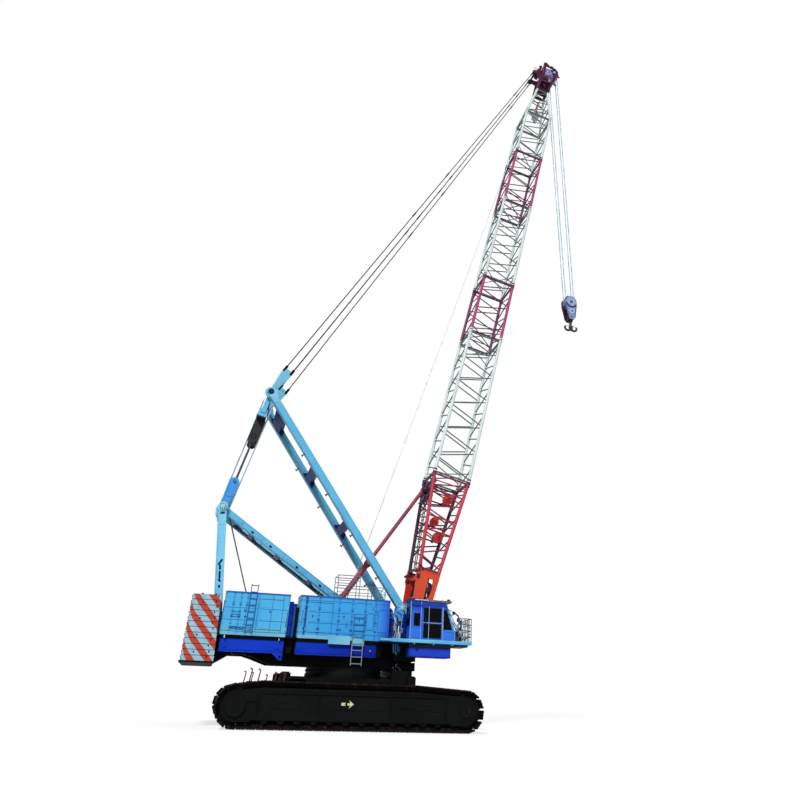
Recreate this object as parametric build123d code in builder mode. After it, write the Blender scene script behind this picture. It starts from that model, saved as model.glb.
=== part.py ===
"""Lattice-boom crawler crane, a 1:2 scale model, in millimetres.

+X points forward to the boom, +Y to the left and +Z up. The origin is on the ground, under
the swing axis. The right side, -Y, carries the cab. Most pieces come in a right and a left one.
"""
import os
from math import atan2, cos, degrees, radians, sin

from build123d import *

os.makedirs("parts", exist_ok=True)

# ---------------------------------------------------------------- driving dimensions
# Crawler tracks
TRACK_LENGTH = 5560
TRACK_END_RADIUS = 400
TRACK_TOP = 860
TRACK_TOP_BEND = 260
TOP_RUN_REAR_SETBACK, TOP_RUN_FRONT_SETBACK = 500, 1090
SHOE_WIDTH = 620
TRACK_OUTER_Y = 1960
BELT = 105
FRAME_SET_IN = 90
SIDE_PLATE = 25
AXLE_RADIUS = 75
ROLLER_RADIUS = 92
ROLLER_PITCH = 325

# Carbody, its jacks and the swing bearing
CARBODY_LENGTH = 2160
CARBODY_WIDTH = 1400
CARBODY_BOTTOM = 300
CARBODY_WALL = 60
AXLE_BEAM_X = 900
AXLE_BEAM_WIDTH = 440
AXLE_BEAM_HEIGHT = 340
WING_BOTTOM, WING_THICK = 870, 85
JACK_X, JACK_SET_IN = 1400, 440
JACK_RADIUS = 85
RING_RADIUS = 860
RING_WIDTH = 150
RING_BOTTOM, RING_TOP = 1040, 1167.5

# Revolving frame, deck and side beams
DECK_TOP = 1688
DECK_THICK = 28
DECK_HALF_WIDTH = 1240
DECK_REAR, DECK_FRONT = -2930, 1640
GIRDER_INNER, GIRDER_OUTER = 420, 620
GIRDER_FRONT, GIRDER_REAR = 1460, -3060
SIDE_BEAM_WIDTH = 120
SIDE_BEAM_SET_IN = 80
SIDE_BEAM_SHARE = 0.6
EYE_RADIUS = 26

# Counterweights
SLAB_COUNT = 12
SLAB_HEIGHT = 98
SLAB_GROOVE = 7.5
SLAB_WIDTH = 680
SLAB_CORNER = 150
TRAY_BOTTOM, TRAY_THICK = 1135, 30

# Machinery houses and their hinged doors
WALL = 20
HOUSE_INNER_Y = 640
REAR_HOUSE_HEIGHT, FRONT_HOUSE_HEIGHT = 828, 840
DOOR_SILL, DOOR_HEAD = 112, 712
DOOR_CLEARANCE = 5
HINGE_OUT = 12
KNUCKLE_RADIUS = 9

# Cab and walkway
CAB_REAR = 1220
CAB_ROOF_LENGTH, CAB_NOSE_LENGTH = 850, 1070
CAB_WIDTH = 460
CAB_HEIGHT = 830
CAB_NOSE_HEIGHT = 200
CAB_WALL = 25
PANE = 6
GLASS_GAP = 0.4
WALKWAY_THICK = 42
RAIL_RADIUS = 9

# Boom: stations run along the boom from its foot pin
BOOM_ANGLE = 77.58
BOOM_FOOT_X, BOOM_FOOT_Z = 1566, 2097
BOOM_HALF_WIDTH = 518
BOOM_HALF_DEPTH = 492
FOOT_LENGTH, BASE_LENGTH, TOP_LENGTH = 1280, 2460, 1820
FOOT_HALF_DEPTH = 256
FOOT_PLATE = 60
CHORD_RADIUS = 44
LACING_RADIUS = 18
BASE_LACING_PITCH, LACING_PITCH, TOP_LACING_PITCH = 300, 410, 340
BOOM_PIN, MAST_PIN = 60, 50
LUG_SIDE_GAP = 3

# Boom head
HEAD_HALF_DEPTH, HEAD_HALF_WIDTH = 230, 215
HEAD_SHEAVE_RADIUS = 240
HEAD_PIN = 45
PENDANT_PIN = 40
HEAD_PLATE_Y = (200, 240)

# Mast, gantry, stays and winches
MAST_ANGLE = 127.63
MAST_FOOT_X, MAST_FOOT_Z = 1128, 2452
MAST_LENGTH = 6250
MAST_WIDTH = 180
MAST_HALF_DEPTH = 85
TIP_PIN = 42
GANTRY_PEAK_X, GANTRY_PEAK_Z = -3344, 4432
REAR_LEG_Y, FRONT_LEG_Y = (475, 575), (355, 455)
FRONT_FOOT_X, FRONT_FOOT_HEIGHT = 260, 524
FRONT_LEG_HALF_DEPTH = 70
PEAK_PIN = 60
FRONT_LEG_PIN = 45
STAY_EYE = 92
STAY_ROPE = 16
DRUM_HALF_WIDTH = 320
DRUM_PIN = 50
BACKSTOP_RADIUS = 70

# Hoist falls and hook block
BLOCK_SHAFT_Z = 12250
BLOCK_SHEAVE_RADIUS = 200
FALL_ROPE = 11
FALL_Y = (-84, -28, 28, 84)
HOOK_SHANK = 40
HOOK_BORE = 18

# Running clearances
PIN_FIT = 0.1
SEAT = 0.5

# ---------------------------------------------------------------- helpers


def side_plane(x, z, angle=90):
    """Side-view plane: local x leads forward, local y runs along the given angle."""
    lean = radians(angle)
    return Plane(origin=(x, 0, z), x_dir=(sin(lean), 0, -cos(lean)), z_dir=(0, -1, 0))


def length_plane(x, z, angle=90):
    """Plane whose z runs along the given angle, with x leading forward and y to the left."""
    lean = radians(angle)
    return Plane(
        origin=(x, 0, z), x_dir=(sin(lean), 0, -cos(lean)), z_dir=(cos(lean), 0, sin(lean))
    )


def block(x, y, z, mode=Mode.ADD):
    """Box between two values on each axis."""
    with Locations((sum(x) / 2, sum(y) / 2, sum(z) / 2)):
        Box(abs(x[1] - x[0]), abs(y[1] - y[0]), abs(z[1] - z[0]), mode=mode)


def plate(points, y, plane=Plane.XZ, mode=Mode.ADD, gap=0):
    """Side-view outline, drawn in by a gap, made solid between two values of y."""
    with BuildSketch(plane.offset(-max(y))) as outline:
        with BuildLine():
            Polyline(*points, close=True)
        make_face()
        if gap:
            offset(amount=-gap, kind=Kind.INTERSECTION)
    extrude(outline.sketch, amount=max(y) - min(y), mode=mode)


def cross_pin(x, z, radius, y, plane=Plane.XZ, mode=Mode.ADD):
    """Cylinder along Y between two values of y, at x, z of a side-view plane."""
    with BuildSketch(plane.offset(-max(y))) as disc:
        with Locations((x, z)):
            Circle(radius)
    extrude(disc.sketch, amount=max(y) - min(y), mode=mode)


def post(x, y, z, radius, mode=Mode.ADD):
    """Upright cylinder between two values of z."""
    with Locations((x, y, sum(z) / 2)):
        Cylinder(radius, z[1] - z[0], mode=mode)


def rods(pairs, radius):
    """Round bars of one radius between pairs of points, joined to the part in one step."""
    solids = []
    for start, end in pairs:
        line = Vector(*end) - Vector(*start)
        solids.append(
            Solid.make_cylinder(radius, line.length, Plane(origin=Vector(*start), z_dir=line))
        )
    add(solids)


def both_sides(y):
    """The same span of y on the right and on the left."""
    return ((-y[1], -y[0]), (y[0], y[1]))


def spaced(count, pitch, width):
    """Spans of y for a row of equal discs about the middle."""
    middles = [(index - (count - 1) / 2) * pitch for index in range(count)]
    return [(middle - width / 2, middle + width / 2) for middle in middles]


def save(piece, name):
    """Labels a piece and writes it."""
    piece.label = name
    export_step(piece, f"parts/{name}.step")


def save_pair(right_piece, name):
    """Writes a right piece and its mirror image for the left."""
    save(right_piece, f"right_{name}")
    save(mirror(right_piece, about=Plane.XZ), f"left_{name}")


# ---------------------------------------------------------------- crawler tracks
track_inner_y = TRACK_OUTER_Y - SHOE_WIDTH
wheel_x = TRACK_LENGTH / 2 - TRACK_END_RADIUS


def track_outline(inset, plane):
    """Side outline of a track, drawn in by an inset."""
    with BuildSketch(plane) as outline:
        with Locations((-wheel_x, TRACK_END_RADIUS), (wheel_x, TRACK_END_RADIUS)):
            Circle(TRACK_END_RADIUS - inset)
        bend_z = TRACK_TOP - TRACK_TOP_BEND
        with Locations(
            (-wheel_x + TOP_RUN_REAR_SETBACK, bend_z), (wheel_x - TOP_RUN_FRONT_SETBACK, bend_z)
        ):
            Circle(TRACK_TOP_BEND - inset)
        make_hull()
    return outline.sketch


inner_edge = Plane.XZ.offset(track_inner_y)
with BuildPart() as track:
    extrude(track_outline(0, inner_edge), amount=SHOE_WIDTH)
    extrude(track_outline(BELT, inner_edge), amount=SHOE_WIDTH, mode=Mode.SUBTRACT)
save_pair(track.part, "track")

# Track frame: an inner and an outer side plate on a core box, with axle holes at the ends
frame_inner_y, frame_outer_y = track_inner_y + FRAME_SET_IN, TRACK_OUTER_Y - FRAME_SET_IN
roller_z = BELT + ROLLER_RADIUS + SEAT
wheel_radius = TRACK_END_RADIUS - BELT - SEAT
core_half_length = wheel_x - wheel_radius - 135
frame_y = (-frame_outer_y, -frame_inner_y)
with BuildPart() as track_frame:
    for plate_y in (frame_inner_y, frame_outer_y - SIDE_PLATE):
        extrude(track_outline(BELT + 30, Plane.XZ.offset(plate_y)), amount=SIDE_PLATE)
    block(
        (-core_half_length, core_half_length),
        (frame_y[0] + SIDE_PLATE, frame_y[1] - SIDE_PLATE),
        (roller_z + ROLLER_RADIUS + 15, TRACK_TOP - BELT - 65),
    )
    for wheel in (-wheel_x, wheel_x):
        cross_pin(
            wheel, TRACK_END_RADIUS, AXLE_RADIUS + PIN_FIT, frame_y, mode=Mode.SUBTRACT
        )
    block((-wheel_x + 320, wheel_x - 320), frame_y, (0, BELT + 60), Mode.SUBTRACT)
save_pair(track_frame.part, "track_frame")

# End wheels on their axles: driven sprockets at the rear and idlers at the front
# name, x, hub radius, how far the hub stands out
wheel_table = (("drive_sprockets", -wheel_x, 190, 55), ("idlers", wheel_x, 120, 30))
for wheel_name, x_wheel, hub_radius, hub_out in wheel_table:
    with BuildPart() as wheel_pair:
        for radius, span in (
            (wheel_radius, (frame_inner_y + SIDE_PLATE + 8, frame_outer_y - SIDE_PLATE - 8)),
            (AXLE_RADIUS, (frame_inner_y - 20, frame_outer_y + hub_out)),
            (hub_radius, (frame_outer_y + SEAT, frame_outer_y + hub_out)),
        ):
            for side_span in both_sides(span):
                cross_pin(x_wheel, TRACK_END_RADIUS, radius, side_span)
    save(wheel_pair.part, wheel_name)

# Track rollers, held between the side plates
roller_count = int(2 * (core_half_length - ROLLER_RADIUS) / ROLLER_PITCH) + 1
roller_y = (frame_inner_y + SIDE_PLATE + SEAT, frame_outer_y - SIDE_PLATE - SEAT)
with BuildPart() as track_rollers:
    for index in range(roller_count):
        for span in both_sides(roller_y):
            cross_pin(
                (index - (roller_count - 1) / 2) * ROLLER_PITCH, roller_z, ROLLER_RADIUS, span
            )
save(track_rollers.part, "track_rollers")

# ---------------------------------------------------------------- carbody and swing bearing
body_top = RING_BOTTOM - 80
jack_y = track_inner_y - JACK_SET_IN
half_length, half_width = CARBODY_LENGTH / 2, CARBODY_WIDTH / 2
front_block_x = RING_RADIUS + 100
jack_spots = [(sx * JACK_X, sy * jack_y) for sx in (-1, 1) for sy in (-1, 1)]
with BuildPart() as carbody:
    block((-half_length, half_length), (-half_width, half_width), (CARBODY_BOTTOM, body_top))
    for beam_x in (-AXLE_BEAM_X, AXLE_BEAM_X):
        block(
            (beam_x - AXLE_BEAM_WIDTH / 2, beam_x + AXLE_BEAM_WIDTH / 2),
            (-frame_inner_y, frame_inner_y),
            (CARBODY_BOTTOM, CARBODY_BOTTOM + AXLE_BEAM_HEIGHT),
        )
    block((-JACK_X, JACK_X), (-jack_y, jack_y), (WING_BOTTOM, WING_BOTTOM + WING_THICK))
    block((front_block_x, front_block_x + 480), (-jack_y, jack_y), (WING_BOTTOM, RING_TOP - 28))
    post(0, 0, (body_top, RING_BOTTOM), RING_RADIUS + 20)
    for x, y in jack_spots:
        post(x, y, (WING_BOTTOM - 90, WING_BOTTOM + 150), JACK_RADIUS + 30)
    block(
        (-half_length + CARBODY_WALL, half_length - CARBODY_WALL),
        (-half_width + CARBODY_WALL, half_width - CARBODY_WALL),
        (CARBODY_BOTTOM + CARBODY_WALL, body_top - CARBODY_WALL),
        Mode.SUBTRACT,
    )
    for x, y in jack_spots:
        post(x, y, (WING_BOTTOM - 170, RING_TOP), JACK_RADIUS + PIN_FIT, Mode.SUBTRACT)
save(carbody.part, "carbody")

with BuildPart() as carbody_jacks:
    for x, y in jack_spots:
        post(x, y, (WING_BOTTOM - 450, WING_BOTTOM + 170), JACK_RADIUS)
save(carbody_jacks.part, "carbody_jacks")

with BuildPart() as slew_ring:
    post(0, 0, (RING_BOTTOM, RING_TOP), RING_RADIUS)
    post(0, 0, (RING_BOTTOM, RING_TOP), RING_RADIUS - RING_WIDTH, Mode.SUBTRACT)
save(slew_ring.part, "slew_ring")

# ---------------------------------------------------------------- revolving frame
frame_bottom = RING_TOP + SEAT
deck_bottom = DECK_TOP - DECK_THICK
tray_top = TRAY_BOTTOM + TRAY_THICK
tray_front = DECK_REAR - 15
side_beam_y = (
    DECK_HALF_WIDTH - SIDE_BEAM_SET_IN - SIDE_BEAM_WIDTH, DECK_HALF_WIDTH - SIDE_BEAM_SET_IN
)
frame_depth = deck_bottom - frame_bottom
side_beam_bottom = deck_bottom - SIDE_BEAM_SHARE * frame_depth
arch_z, beam_bottom = frame_bottom + 0.36 * frame_depth, deck_bottom - 0.55 * frame_depth
girder_outline = (
    (GIRDER_FRONT, frame_bottom + 30),
    (GIRDER_FRONT, deck_bottom),
    (GIRDER_REAR, deck_bottom),
    (GIRDER_REAR, tray_top),
    (tray_front, tray_top),
    (tray_front + 305, arch_z),
    (tray_front + 615, arch_z),
    (tray_front + 825, frame_bottom + 0.25 * frame_depth),
    (-1760, frame_bottom + 10),
    (RING_RADIUS + 100, frame_bottom + 10),
)
with BuildPart() as revolving_frame:
    for span in both_sides((GIRDER_INNER, GIRDER_OUTER)):
        plate(girder_outline, span)
    post(0, 0, (frame_bottom, side_beam_bottom), RING_RADIUS - 20)
    block((DECK_REAR, DECK_FRONT), (-DECK_HALF_WIDTH, DECK_HALF_WIDTH), (deck_bottom, DECK_TOP))
    block((GIRDER_REAR, DECK_REAR), (-GIRDER_OUTER, GIRDER_OUTER), (deck_bottom, DECK_TOP))
    for beam_x in (-2700, -1410, 560):
        block(
            (beam_x - 60, beam_x + 60), (-side_beam_y[0], side_beam_y[0]),
            (beam_bottom, deck_bottom),
        )
    block(
        (GIRDER_FRONT - 520, GIRDER_FRONT), (40 - side_beam_y[0], side_beam_y[0] - 40),
        (deck_bottom - 0.67 * frame_depth, deck_bottom),
    )
save(revolving_frame.part, "revolving_frame")

# Side beams under the houses, with an eye plate at the front end of each rear beam
eye_x, eye_z = -1590, side_beam_bottom - 64
with BuildPart() as side_beams:
    for span in both_sides(side_beam_y):
        for beam_rear, beam_front in ((DECK_REAR + 50, -1540), (-1280, 500)):
            block((beam_rear, beam_front), span, (side_beam_bottom, deck_bottom))
        plate(
            (
                (eye_x - 170, side_beam_bottom), (eye_x + 50, side_beam_bottom),
                (eye_x + 50, eye_z - 60), (eye_x - 10, eye_z - 60),
            ),
            span,
        )
        cross_pin(eye_x, eye_z, EYE_RADIUS, span, mode=Mode.SUBTRACT)
save(side_beams.part, "side_beams")

# ---------------------------------------------------------------- counterweights
slab_y = (GIRDER_OUTER + 20, GIRDER_OUTER + 20 + SLAB_WIDTH)
with BuildPart() as counterweight_tray:
    block((tray_front - 675, tray_front), (-slab_y[1] - 10, slab_y[1] + 10), (TRAY_BOTTOM, tray_top))
save(counterweight_tray.part, "counterweight_tray")

# Slabs are cut back at the front towards the top; a narrower neck joins each to the next
slab_rear = tray_front - 655
slab_front_foot, slab_front_head = tray_front + 9, tray_front - 59
neck_inset = 14
with BuildPart() as counterweight:
    for index in range(SLAB_COUNT):
        share = index / (SLAB_COUNT - 1)
        front = slab_front_foot + share * (slab_front_head - slab_front_foot)
        slab_z = tray_top + index * (SLAB_HEIGHT + SLAB_GROOVE)
        layers = [(slab_z, 0, SLAB_HEIGHT)]
        if index < SLAB_COUNT - 1:
            layers.append((slab_z + SLAB_HEIGHT, neck_inset, SLAB_GROOVE))
        for base_z, inset, height in layers:
            with BuildSketch(Plane.XY.offset(base_z)) as slab:
                with Locations(((slab_rear + front) / 2, -sum(slab_y) / 2)):
                    Rectangle(front - slab_rear - 2 * inset, SLAB_WIDTH - 2 * inset)
                outer_rear = slab.vertices().sort_by(Axis.X)[:2].sort_by(Axis.Y)[0]
                fillet(outer_rear, SLAB_CORNER)
            extrude(amount=height)
save_pair(counterweight.part, "counterweight")

# ---------------------------------------------------------------- machinery houses and doors
rear_house_x = (DECK_REAR + 18, -1532)
front_house_x = (-1292, 740)
rear_roof, front_roof = DECK_TOP + REAR_HOUSE_HEIGHT, DECK_TOP + FRONT_HOUSE_HEIGHT
door_z = (DECK_TOP + DOOR_SILL, DECK_TOP + DOOR_HEAD)
rear_door_x = (rear_house_x[1] - 648, rear_house_x[1] - 128)
front_door_x = (front_house_x[0] + 172, front_house_x[0] + 732)
knuckle_height = 40
barrel_z = (door_z[0] + 80 + SEAT, door_z[1] - 80 - SEAT)
# name, side, x, roof z, door x or None
house_table = (
    ("right_rear_house", -1, rear_house_x, rear_roof, rear_door_x),
    ("right_front_house", -1, front_house_x, front_roof, front_door_x),
    ("left_rear_house", 1, rear_house_x, rear_roof, None),
    ("left_front_house", 1, front_house_x, front_roof, front_door_x),
)
for house_name, side, house_x, roof, door_x in house_table:
    outer_y, inner_y = side * DECK_HALF_WIDTH, side * HOUSE_INNER_Y
    hinge_y = outer_y + side * HINGE_OUT
    leaf_y = sorted((outer_y, outer_y + side * (HINGE_OUT + 4)))
    with BuildPart() as house:
        block(house_x, sorted((outer_y, inner_y)), (DECK_TOP, roof))
        block(
            (house_x[0] + WALL, house_x[1] - WALL),
            sorted((outer_y - side * WALL, inner_y + side * WALL)),
            (DECK_TOP + WALL, roof - WALL),
            Mode.SUBTRACT,
        )
        if door_x:
            opening_y = sorted((outer_y + side, outer_y - side * 2 * WALL))
            block(door_x, opening_y, door_z, Mode.SUBTRACT)
            for knuckle_z in (barrel_z[0] - SEAT - knuckle_height, barrel_z[1] + SEAT):
                knuckle_span = (knuckle_z, knuckle_z + knuckle_height)
                post(door_x[0], hinge_y, knuckle_span, KNUCKLE_RADIUS)
                block((door_x[0] - 30, door_x[0]), leaf_y, knuckle_span)
    save(house.part, house_name)
    if door_x:
        with BuildPart() as house_door:
            block(
                (door_x[0] + DOOR_CLEARANCE, door_x[1] - DOOR_CLEARANCE),
                sorted((outer_y, outer_y - side * WALL)),
                (door_z[0] + DOOR_CLEARANCE, door_z[1] - DOOR_CLEARANCE),
            )
            post(door_x[0], hinge_y, barrel_z, KNUCKLE_RADIUS)
            block((door_x[0] + 1, door_x[0] + 40), leaf_y, (barrel_z[0] + 40, barrel_z[1] - 40))
        save(house_door.part, house_name + "_door")

with BuildPart() as engine:
    block(
        (front_house_x[0] + 112, front_house_x[0] + 1092),
        (HOUSE_INNER_Y + 120, DECK_HALF_WIDTH - 100),
        (DECK_TOP + WALL, front_roof - 268),
    )
save(engine.part, "engine")

# ---------------------------------------------------------------- gantry
rear_foot_x = DECK_REAR - 25
peak = (GANTRY_PEAK_X, GANTRY_PEAK_Z)
with BuildPart() as gantry_rear_legs:
    for span in both_sides(REAR_LEG_Y):
        plate(
            (
                (rear_foot_x - 95, DECK_TOP), (rear_foot_x + 95, DECK_TOP),
                (peak[0] + 95, peak[1]), (peak[0] + 50, peak[1] + 100),
                (peak[0] - 50, peak[1] + 100), (peak[0] - 95, peak[1]),
            ),
            span,
        )
        cross_pin(*peak, PEAK_PIN + PIN_FIT, span, mode=Mode.SUBTRACT)
save(gantry_rear_legs.part, "gantry_rear_legs")

# The boom's planes, and the line of its backstop down to the gantry's front legs
boom = length_plane(BOOM_FOOT_X, BOOM_FOOT_Z, BOOM_ANGLE)
boom_side = side_plane(BOOM_FOOT_X, BOOM_FOOT_Z, BOOM_ANGLE)
base_top = FOOT_LENGTH + BASE_LENGTH
front_foot_z = DECK_TOP + FRONT_FOOT_HEIGHT
leg_rise, leg_run = GANTRY_PEAK_Z - front_foot_z, GANTRY_PEAK_X - FRONT_FOOT_X
front_leg = side_plane(FRONT_FOOT_X, front_foot_z, degrees(atan2(leg_rise, leg_run)))
front_leg_length = Vector(leg_rise, leg_run).length
leg_beam_half = (FRONT_LEG_HALF_DEPTH - 15, 60)
backstop_out = BOOM_HALF_DEPTH + 70
backstop_top_station = base_top - 380
backstop_top = boom.from_local_coords((-backstop_out, 0, backstop_top_station))
seat_station, seat_reach, seat_radius = 640, 150, BACKSTOP_RADIUS + 25
seat_beam = front_leg.from_local_coords((0, seat_station, 0))
backstop_run = (backstop_top - seat_beam).normalized()
seat_face = seat_beam + backstop_run * seat_reach

# Front legs: two box legs with an eye at each end, joined by cross beams, one of which seats
# the backstop
leg_eye = PEAK_PIN + 30
with BuildPart() as gantry_front_legs:
    for span in both_sides(FRONT_LEG_Y):
        plate(
            (
                (-FRONT_LEG_PIN - 25, -60), (FRONT_LEG_PIN + 25, -60), (FRONT_LEG_HALF_DEPTH, 220),
                (FRONT_LEG_HALF_DEPTH, front_leg_length - 260), (leg_eye, front_leg_length - 60),
                (leg_eye, front_leg_length), (50, front_leg_length + 90),
                (-50, front_leg_length + 90), (-leg_eye, front_leg_length),
                (-leg_eye, front_leg_length - 60), (-FRONT_LEG_HALF_DEPTH, front_leg_length - 260),
                (-FRONT_LEG_HALF_DEPTH, 220),
            ),
            span,
            front_leg,
        )
        cross_pin(0, 0, FRONT_LEG_PIN + PIN_FIT, span, front_leg, Mode.SUBTRACT)
        cross_pin(*peak, PEAK_PIN + PIN_FIT, span, mode=Mode.SUBTRACT)
    beam_x, beam_y = leg_beam_half
    for station in (seat_station, 1500, 2500, front_leg_length - 920):
        plate(
            (
                (-beam_x, station - beam_y), (beam_x, station - beam_y),
                (beam_x, station + beam_y), (-beam_x, station + beam_y),
            ),
            (-FRONT_LEG_Y[0], FRONT_LEG_Y[0]),
            front_leg,
        )
    rods([(seat_beam, seat_face)], seat_radius)
save(gantry_front_legs.part, "gantry_front_legs")

with BuildPart() as gantry_head:
    shaft_end = REAR_LEG_Y[1] + 45
    cross_pin(*peak, PEAK_PIN, (-shaft_end, shaft_end))
    for span in both_sides((REAR_LEG_Y[1] + SEAT, shaft_end - 20)):
        cross_pin(*peak, PEAK_PIN + 55, span)
    for span in spaced(6, 60, 40):
        cross_pin(*peak, PEAK_PIN + 100, span)
save(gantry_head.part, "gantry_head")

# Lower spreader, hung on the peak shaft and aimed at the mast head
mast_side = side_plane(MAST_FOOT_X, MAST_FOOT_Z, MAST_ANGLE)
mast_tip = mast_side.from_local_coords((0, MAST_LENGTH, 0))
reeving_angle = degrees(atan2(mast_tip.Z - GANTRY_PEAK_Z, mast_tip.X - GANTRY_PEAK_X))
lower_line = side_plane(*peak, reeving_angle)
lower_reach = 720
lower_cheek_y = (230, 262)
with BuildPart() as lower_spreader:
    for span in both_sides(lower_cheek_y):
        plate(
            (
                (-100, -40), (-60, -100), (60, -100), (100, -40),
                (130, lower_reach), (60, lower_reach + 90), (-60, lower_reach + 90),
                (-130, lower_reach),
            ),
            span,
            lower_line,
        )
        cross_pin(0, 0, PEAK_PIN + PIN_FIT, span, lower_line, Mode.SUBTRACT)
    cross_pin(0, lower_reach, 40, (-lower_cheek_y[1] - 38, lower_cheek_y[1] + 38), lower_line)
    for span in spaced(6, 60, 40):
        cross_pin(0, lower_reach, 115, span, lower_line)
    plate(
        (
            (-110, lower_reach - 390), (110, lower_reach - 390),
            (110, lower_reach - 320), (-110, lower_reach - 320),
        ),
        (-lower_cheek_y[0], lower_cheek_y[0]),
        lower_line,
    )
save(lower_spreader.part, "lower_spreader")

# ---------------------------------------------------------------- winches
stand_y = (DRUM_HALF_WIDTH + 25, DRUM_HALF_WIDTH + 55)
# name, x, height of the shaft above the deck, drum radius, flange radius
winch_table = (
    ("hoist_drum", -440, 342, 205, 262),
    ("luffing_drum", -2050, 312, 185, 240),
)
for winch_name, winch_x, winch_height, drum_radius, flange_radius in winch_table:
    winch_z = DECK_TOP + winch_height
    with BuildPart() as drum:
        cross_pin(winch_x, winch_z, drum_radius, (-DRUM_HALF_WIDTH, DRUM_HALF_WIDTH))
        for span in both_sides((DRUM_HALF_WIDTH - 25, DRUM_HALF_WIDTH)):
            cross_pin(winch_x, winch_z, flange_radius, span)
        cross_pin(winch_x, winch_z, DRUM_PIN, (-stand_y[1], stand_y[1]))
    save(drum.part, winch_name)
with BuildPart() as winch_stands:
    for _, winch_x, winch_height, _, _ in winch_table:
        winch_z = DECK_TOP + winch_height
        for span in both_sides(stand_y):
            plate(
                (
                    (winch_x - 300, DECK_TOP), (winch_x + 300, DECK_TOP),
                    (winch_x + 100, winch_z + 90), (winch_x - 100, winch_z + 90),
                ),
                span,
            )
            cross_pin(winch_x, winch_z, DRUM_PIN + PIN_FIT, span, mode=Mode.SUBTRACT)
save(winch_stands.part, "winch_stands")

# ---------------------------------------------------------------- boom and mast foot brackets
# Three plates a side: the middle one carries both the boom's pin and the mast's
lug_y = (BOOM_HALF_WIDTH - 78, BOOM_HALF_WIDTH + 42)
inner_plate_y = (lug_y[0] - LUG_SIDE_GAP - 37, lug_y[0] - LUG_SIDE_GAP)
middle_plate_y = (lug_y[1] + LUG_SIDE_GAP, lug_y[1] + LUG_SIDE_GAP + 36)
mast_y = (middle_plate_y[1] + LUG_SIDE_GAP, middle_plate_y[1] + LUG_SIDE_GAP + MAST_WIDTH)
outer_plate_y = (mast_y[1] + LUG_SIDE_GAP, mast_y[1] + LUG_SIDE_GAP + 35)
mast_pin_end = outer_plate_y[1] + 15
boom_front = (
    (BOOM_FOOT_X + 74, DECK_TOP), (BOOM_FOOT_X + 124, BOOM_FOOT_Z),
    (BOOM_FOOT_X + 74, BOOM_FOOT_Z + 93), (BOOM_FOOT_X - 66, BOOM_FOOT_Z + 93),
)
mast_top = (
    (MAST_FOOT_X + 112, MAST_FOOT_Z), (MAST_FOOT_X + 62, MAST_FOOT_Z + 88),
    (MAST_FOOT_X - 68, MAST_FOOT_Z + 88), (MAST_FOOT_X - 128, MAST_FOOT_Z - 12),
    (MAST_FOOT_X - 248, DECK_TOP),
)
gantry_foot = (
    (FRONT_FOOT_X - 180, DECK_TOP), (FRONT_FOOT_X + 260, DECK_TOP),
    (FRONT_FOOT_X + 80, front_foot_z), (FRONT_FOOT_X + 40, front_foot_z + 78),
    (FRONT_FOOT_X - 40, front_foot_z + 78), (FRONT_FOOT_X - 80, front_foot_z),
)
boom_back = ((BOOM_FOOT_X - 146, BOOM_FOOT_Z), (BOOM_FOOT_X - 386, DECK_TOP))
mast_front = ((MAST_FOOT_X + 252, DECK_TOP),)
# outline, span of y
bracket_table = (
    (boom_front + boom_back, inner_plate_y),
    (boom_front + mast_top, middle_plate_y),
    (mast_front + mast_top, outer_plate_y),
    (gantry_foot, (FRONT_LEG_Y[0] - 45, FRONT_LEG_Y[0] - 3)),
    (gantry_foot, (FRONT_LEG_Y[1] + 3, FRONT_LEG_Y[1] + 45)),
)
with BuildPart() as foot_brackets:
    for outline, y_span in bracket_table:
        for span in both_sides(y_span):
            plate(outline, span)
    for span in both_sides((inner_plate_y[0] - 10, middle_plate_y[1])):
        cross_pin(BOOM_FOOT_X, BOOM_FOOT_Z, BOOM_PIN, span)
    for span in both_sides((middle_plate_y[0], mast_pin_end)):
        cross_pin(MAST_FOOT_X, MAST_FOOT_Z, MAST_PIN, span)
    for span in both_sides((FRONT_LEG_Y[0] - 45, FRONT_LEG_Y[1] + 45)):
        cross_pin(FRONT_FOOT_X, front_foot_z, FRONT_LEG_PIN, span)
save(foot_brackets.part, "foot_brackets")

# ---------------------------------------------------------------- cab and walkway
walkway_top = DECK_TOP + WALKWAY_THICK
cab_inner_y = -(mast_pin_end + 35)
cab_outer_y = cab_inner_y - CAB_WIDTH
cab_top = walkway_top + CAB_HEIGHT
nose_z = walkway_top + CAB_NOSE_HEIGHT
roof_front, cab_nose = CAB_REAR + CAB_ROOF_LENGTH, CAB_REAR + CAB_NOSE_LENGTH
floor_z = walkway_top + CAB_WALL
cab_outline = (
    (CAB_REAR, walkway_top), (CAB_REAR, cab_top), (roof_front, cab_top),
    (cab_nose, nose_z), (cab_nose, walkway_top),
)
cab_door_x = (CAB_REAR + 280, CAB_REAR + 740)
cab_door_z = (walkway_top + 50, walkway_top + 710)
corner_pane_x, corner_pane_z = (CAB_REAR + 80, CAB_REAR + 220), (cab_top - 520, cab_top - 260)
side_pane_z = (cab_top - 510, cab_top - 120)
back_pane_y = (cab_outer_y + 60, cab_inner_y - 60)
front_pane_y = (cab_outer_y + 40, cab_inner_y - 40)
front_pane_z = (cab_top - 575, cab_top - 60)
rail_thick = 14
rail_y = (cab_outer_y - 42, cab_outer_y)
low_rail_z = (walkway_top + 8, walkway_top + 8 + rail_thick)
high_rail_z = (cab_top - 92, cab_top - 92 + rail_thick)
nose_slope = (cab_nose - roof_front) / (cab_top - nose_z)


def nose_x(z):
    """X of the cab's slanted front at a height."""
    return roof_front + (cab_top - z) * nose_slope


nose_pane = (
    (cab_door_x[1] + 50, cab_top - 160), (nose_x(cab_top - 160) - 48, cab_top - 160),
    (nose_x(cab_top - 575) - 48, cab_top - 575), (cab_door_x[1] + 50, cab_top - 575),
)


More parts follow.
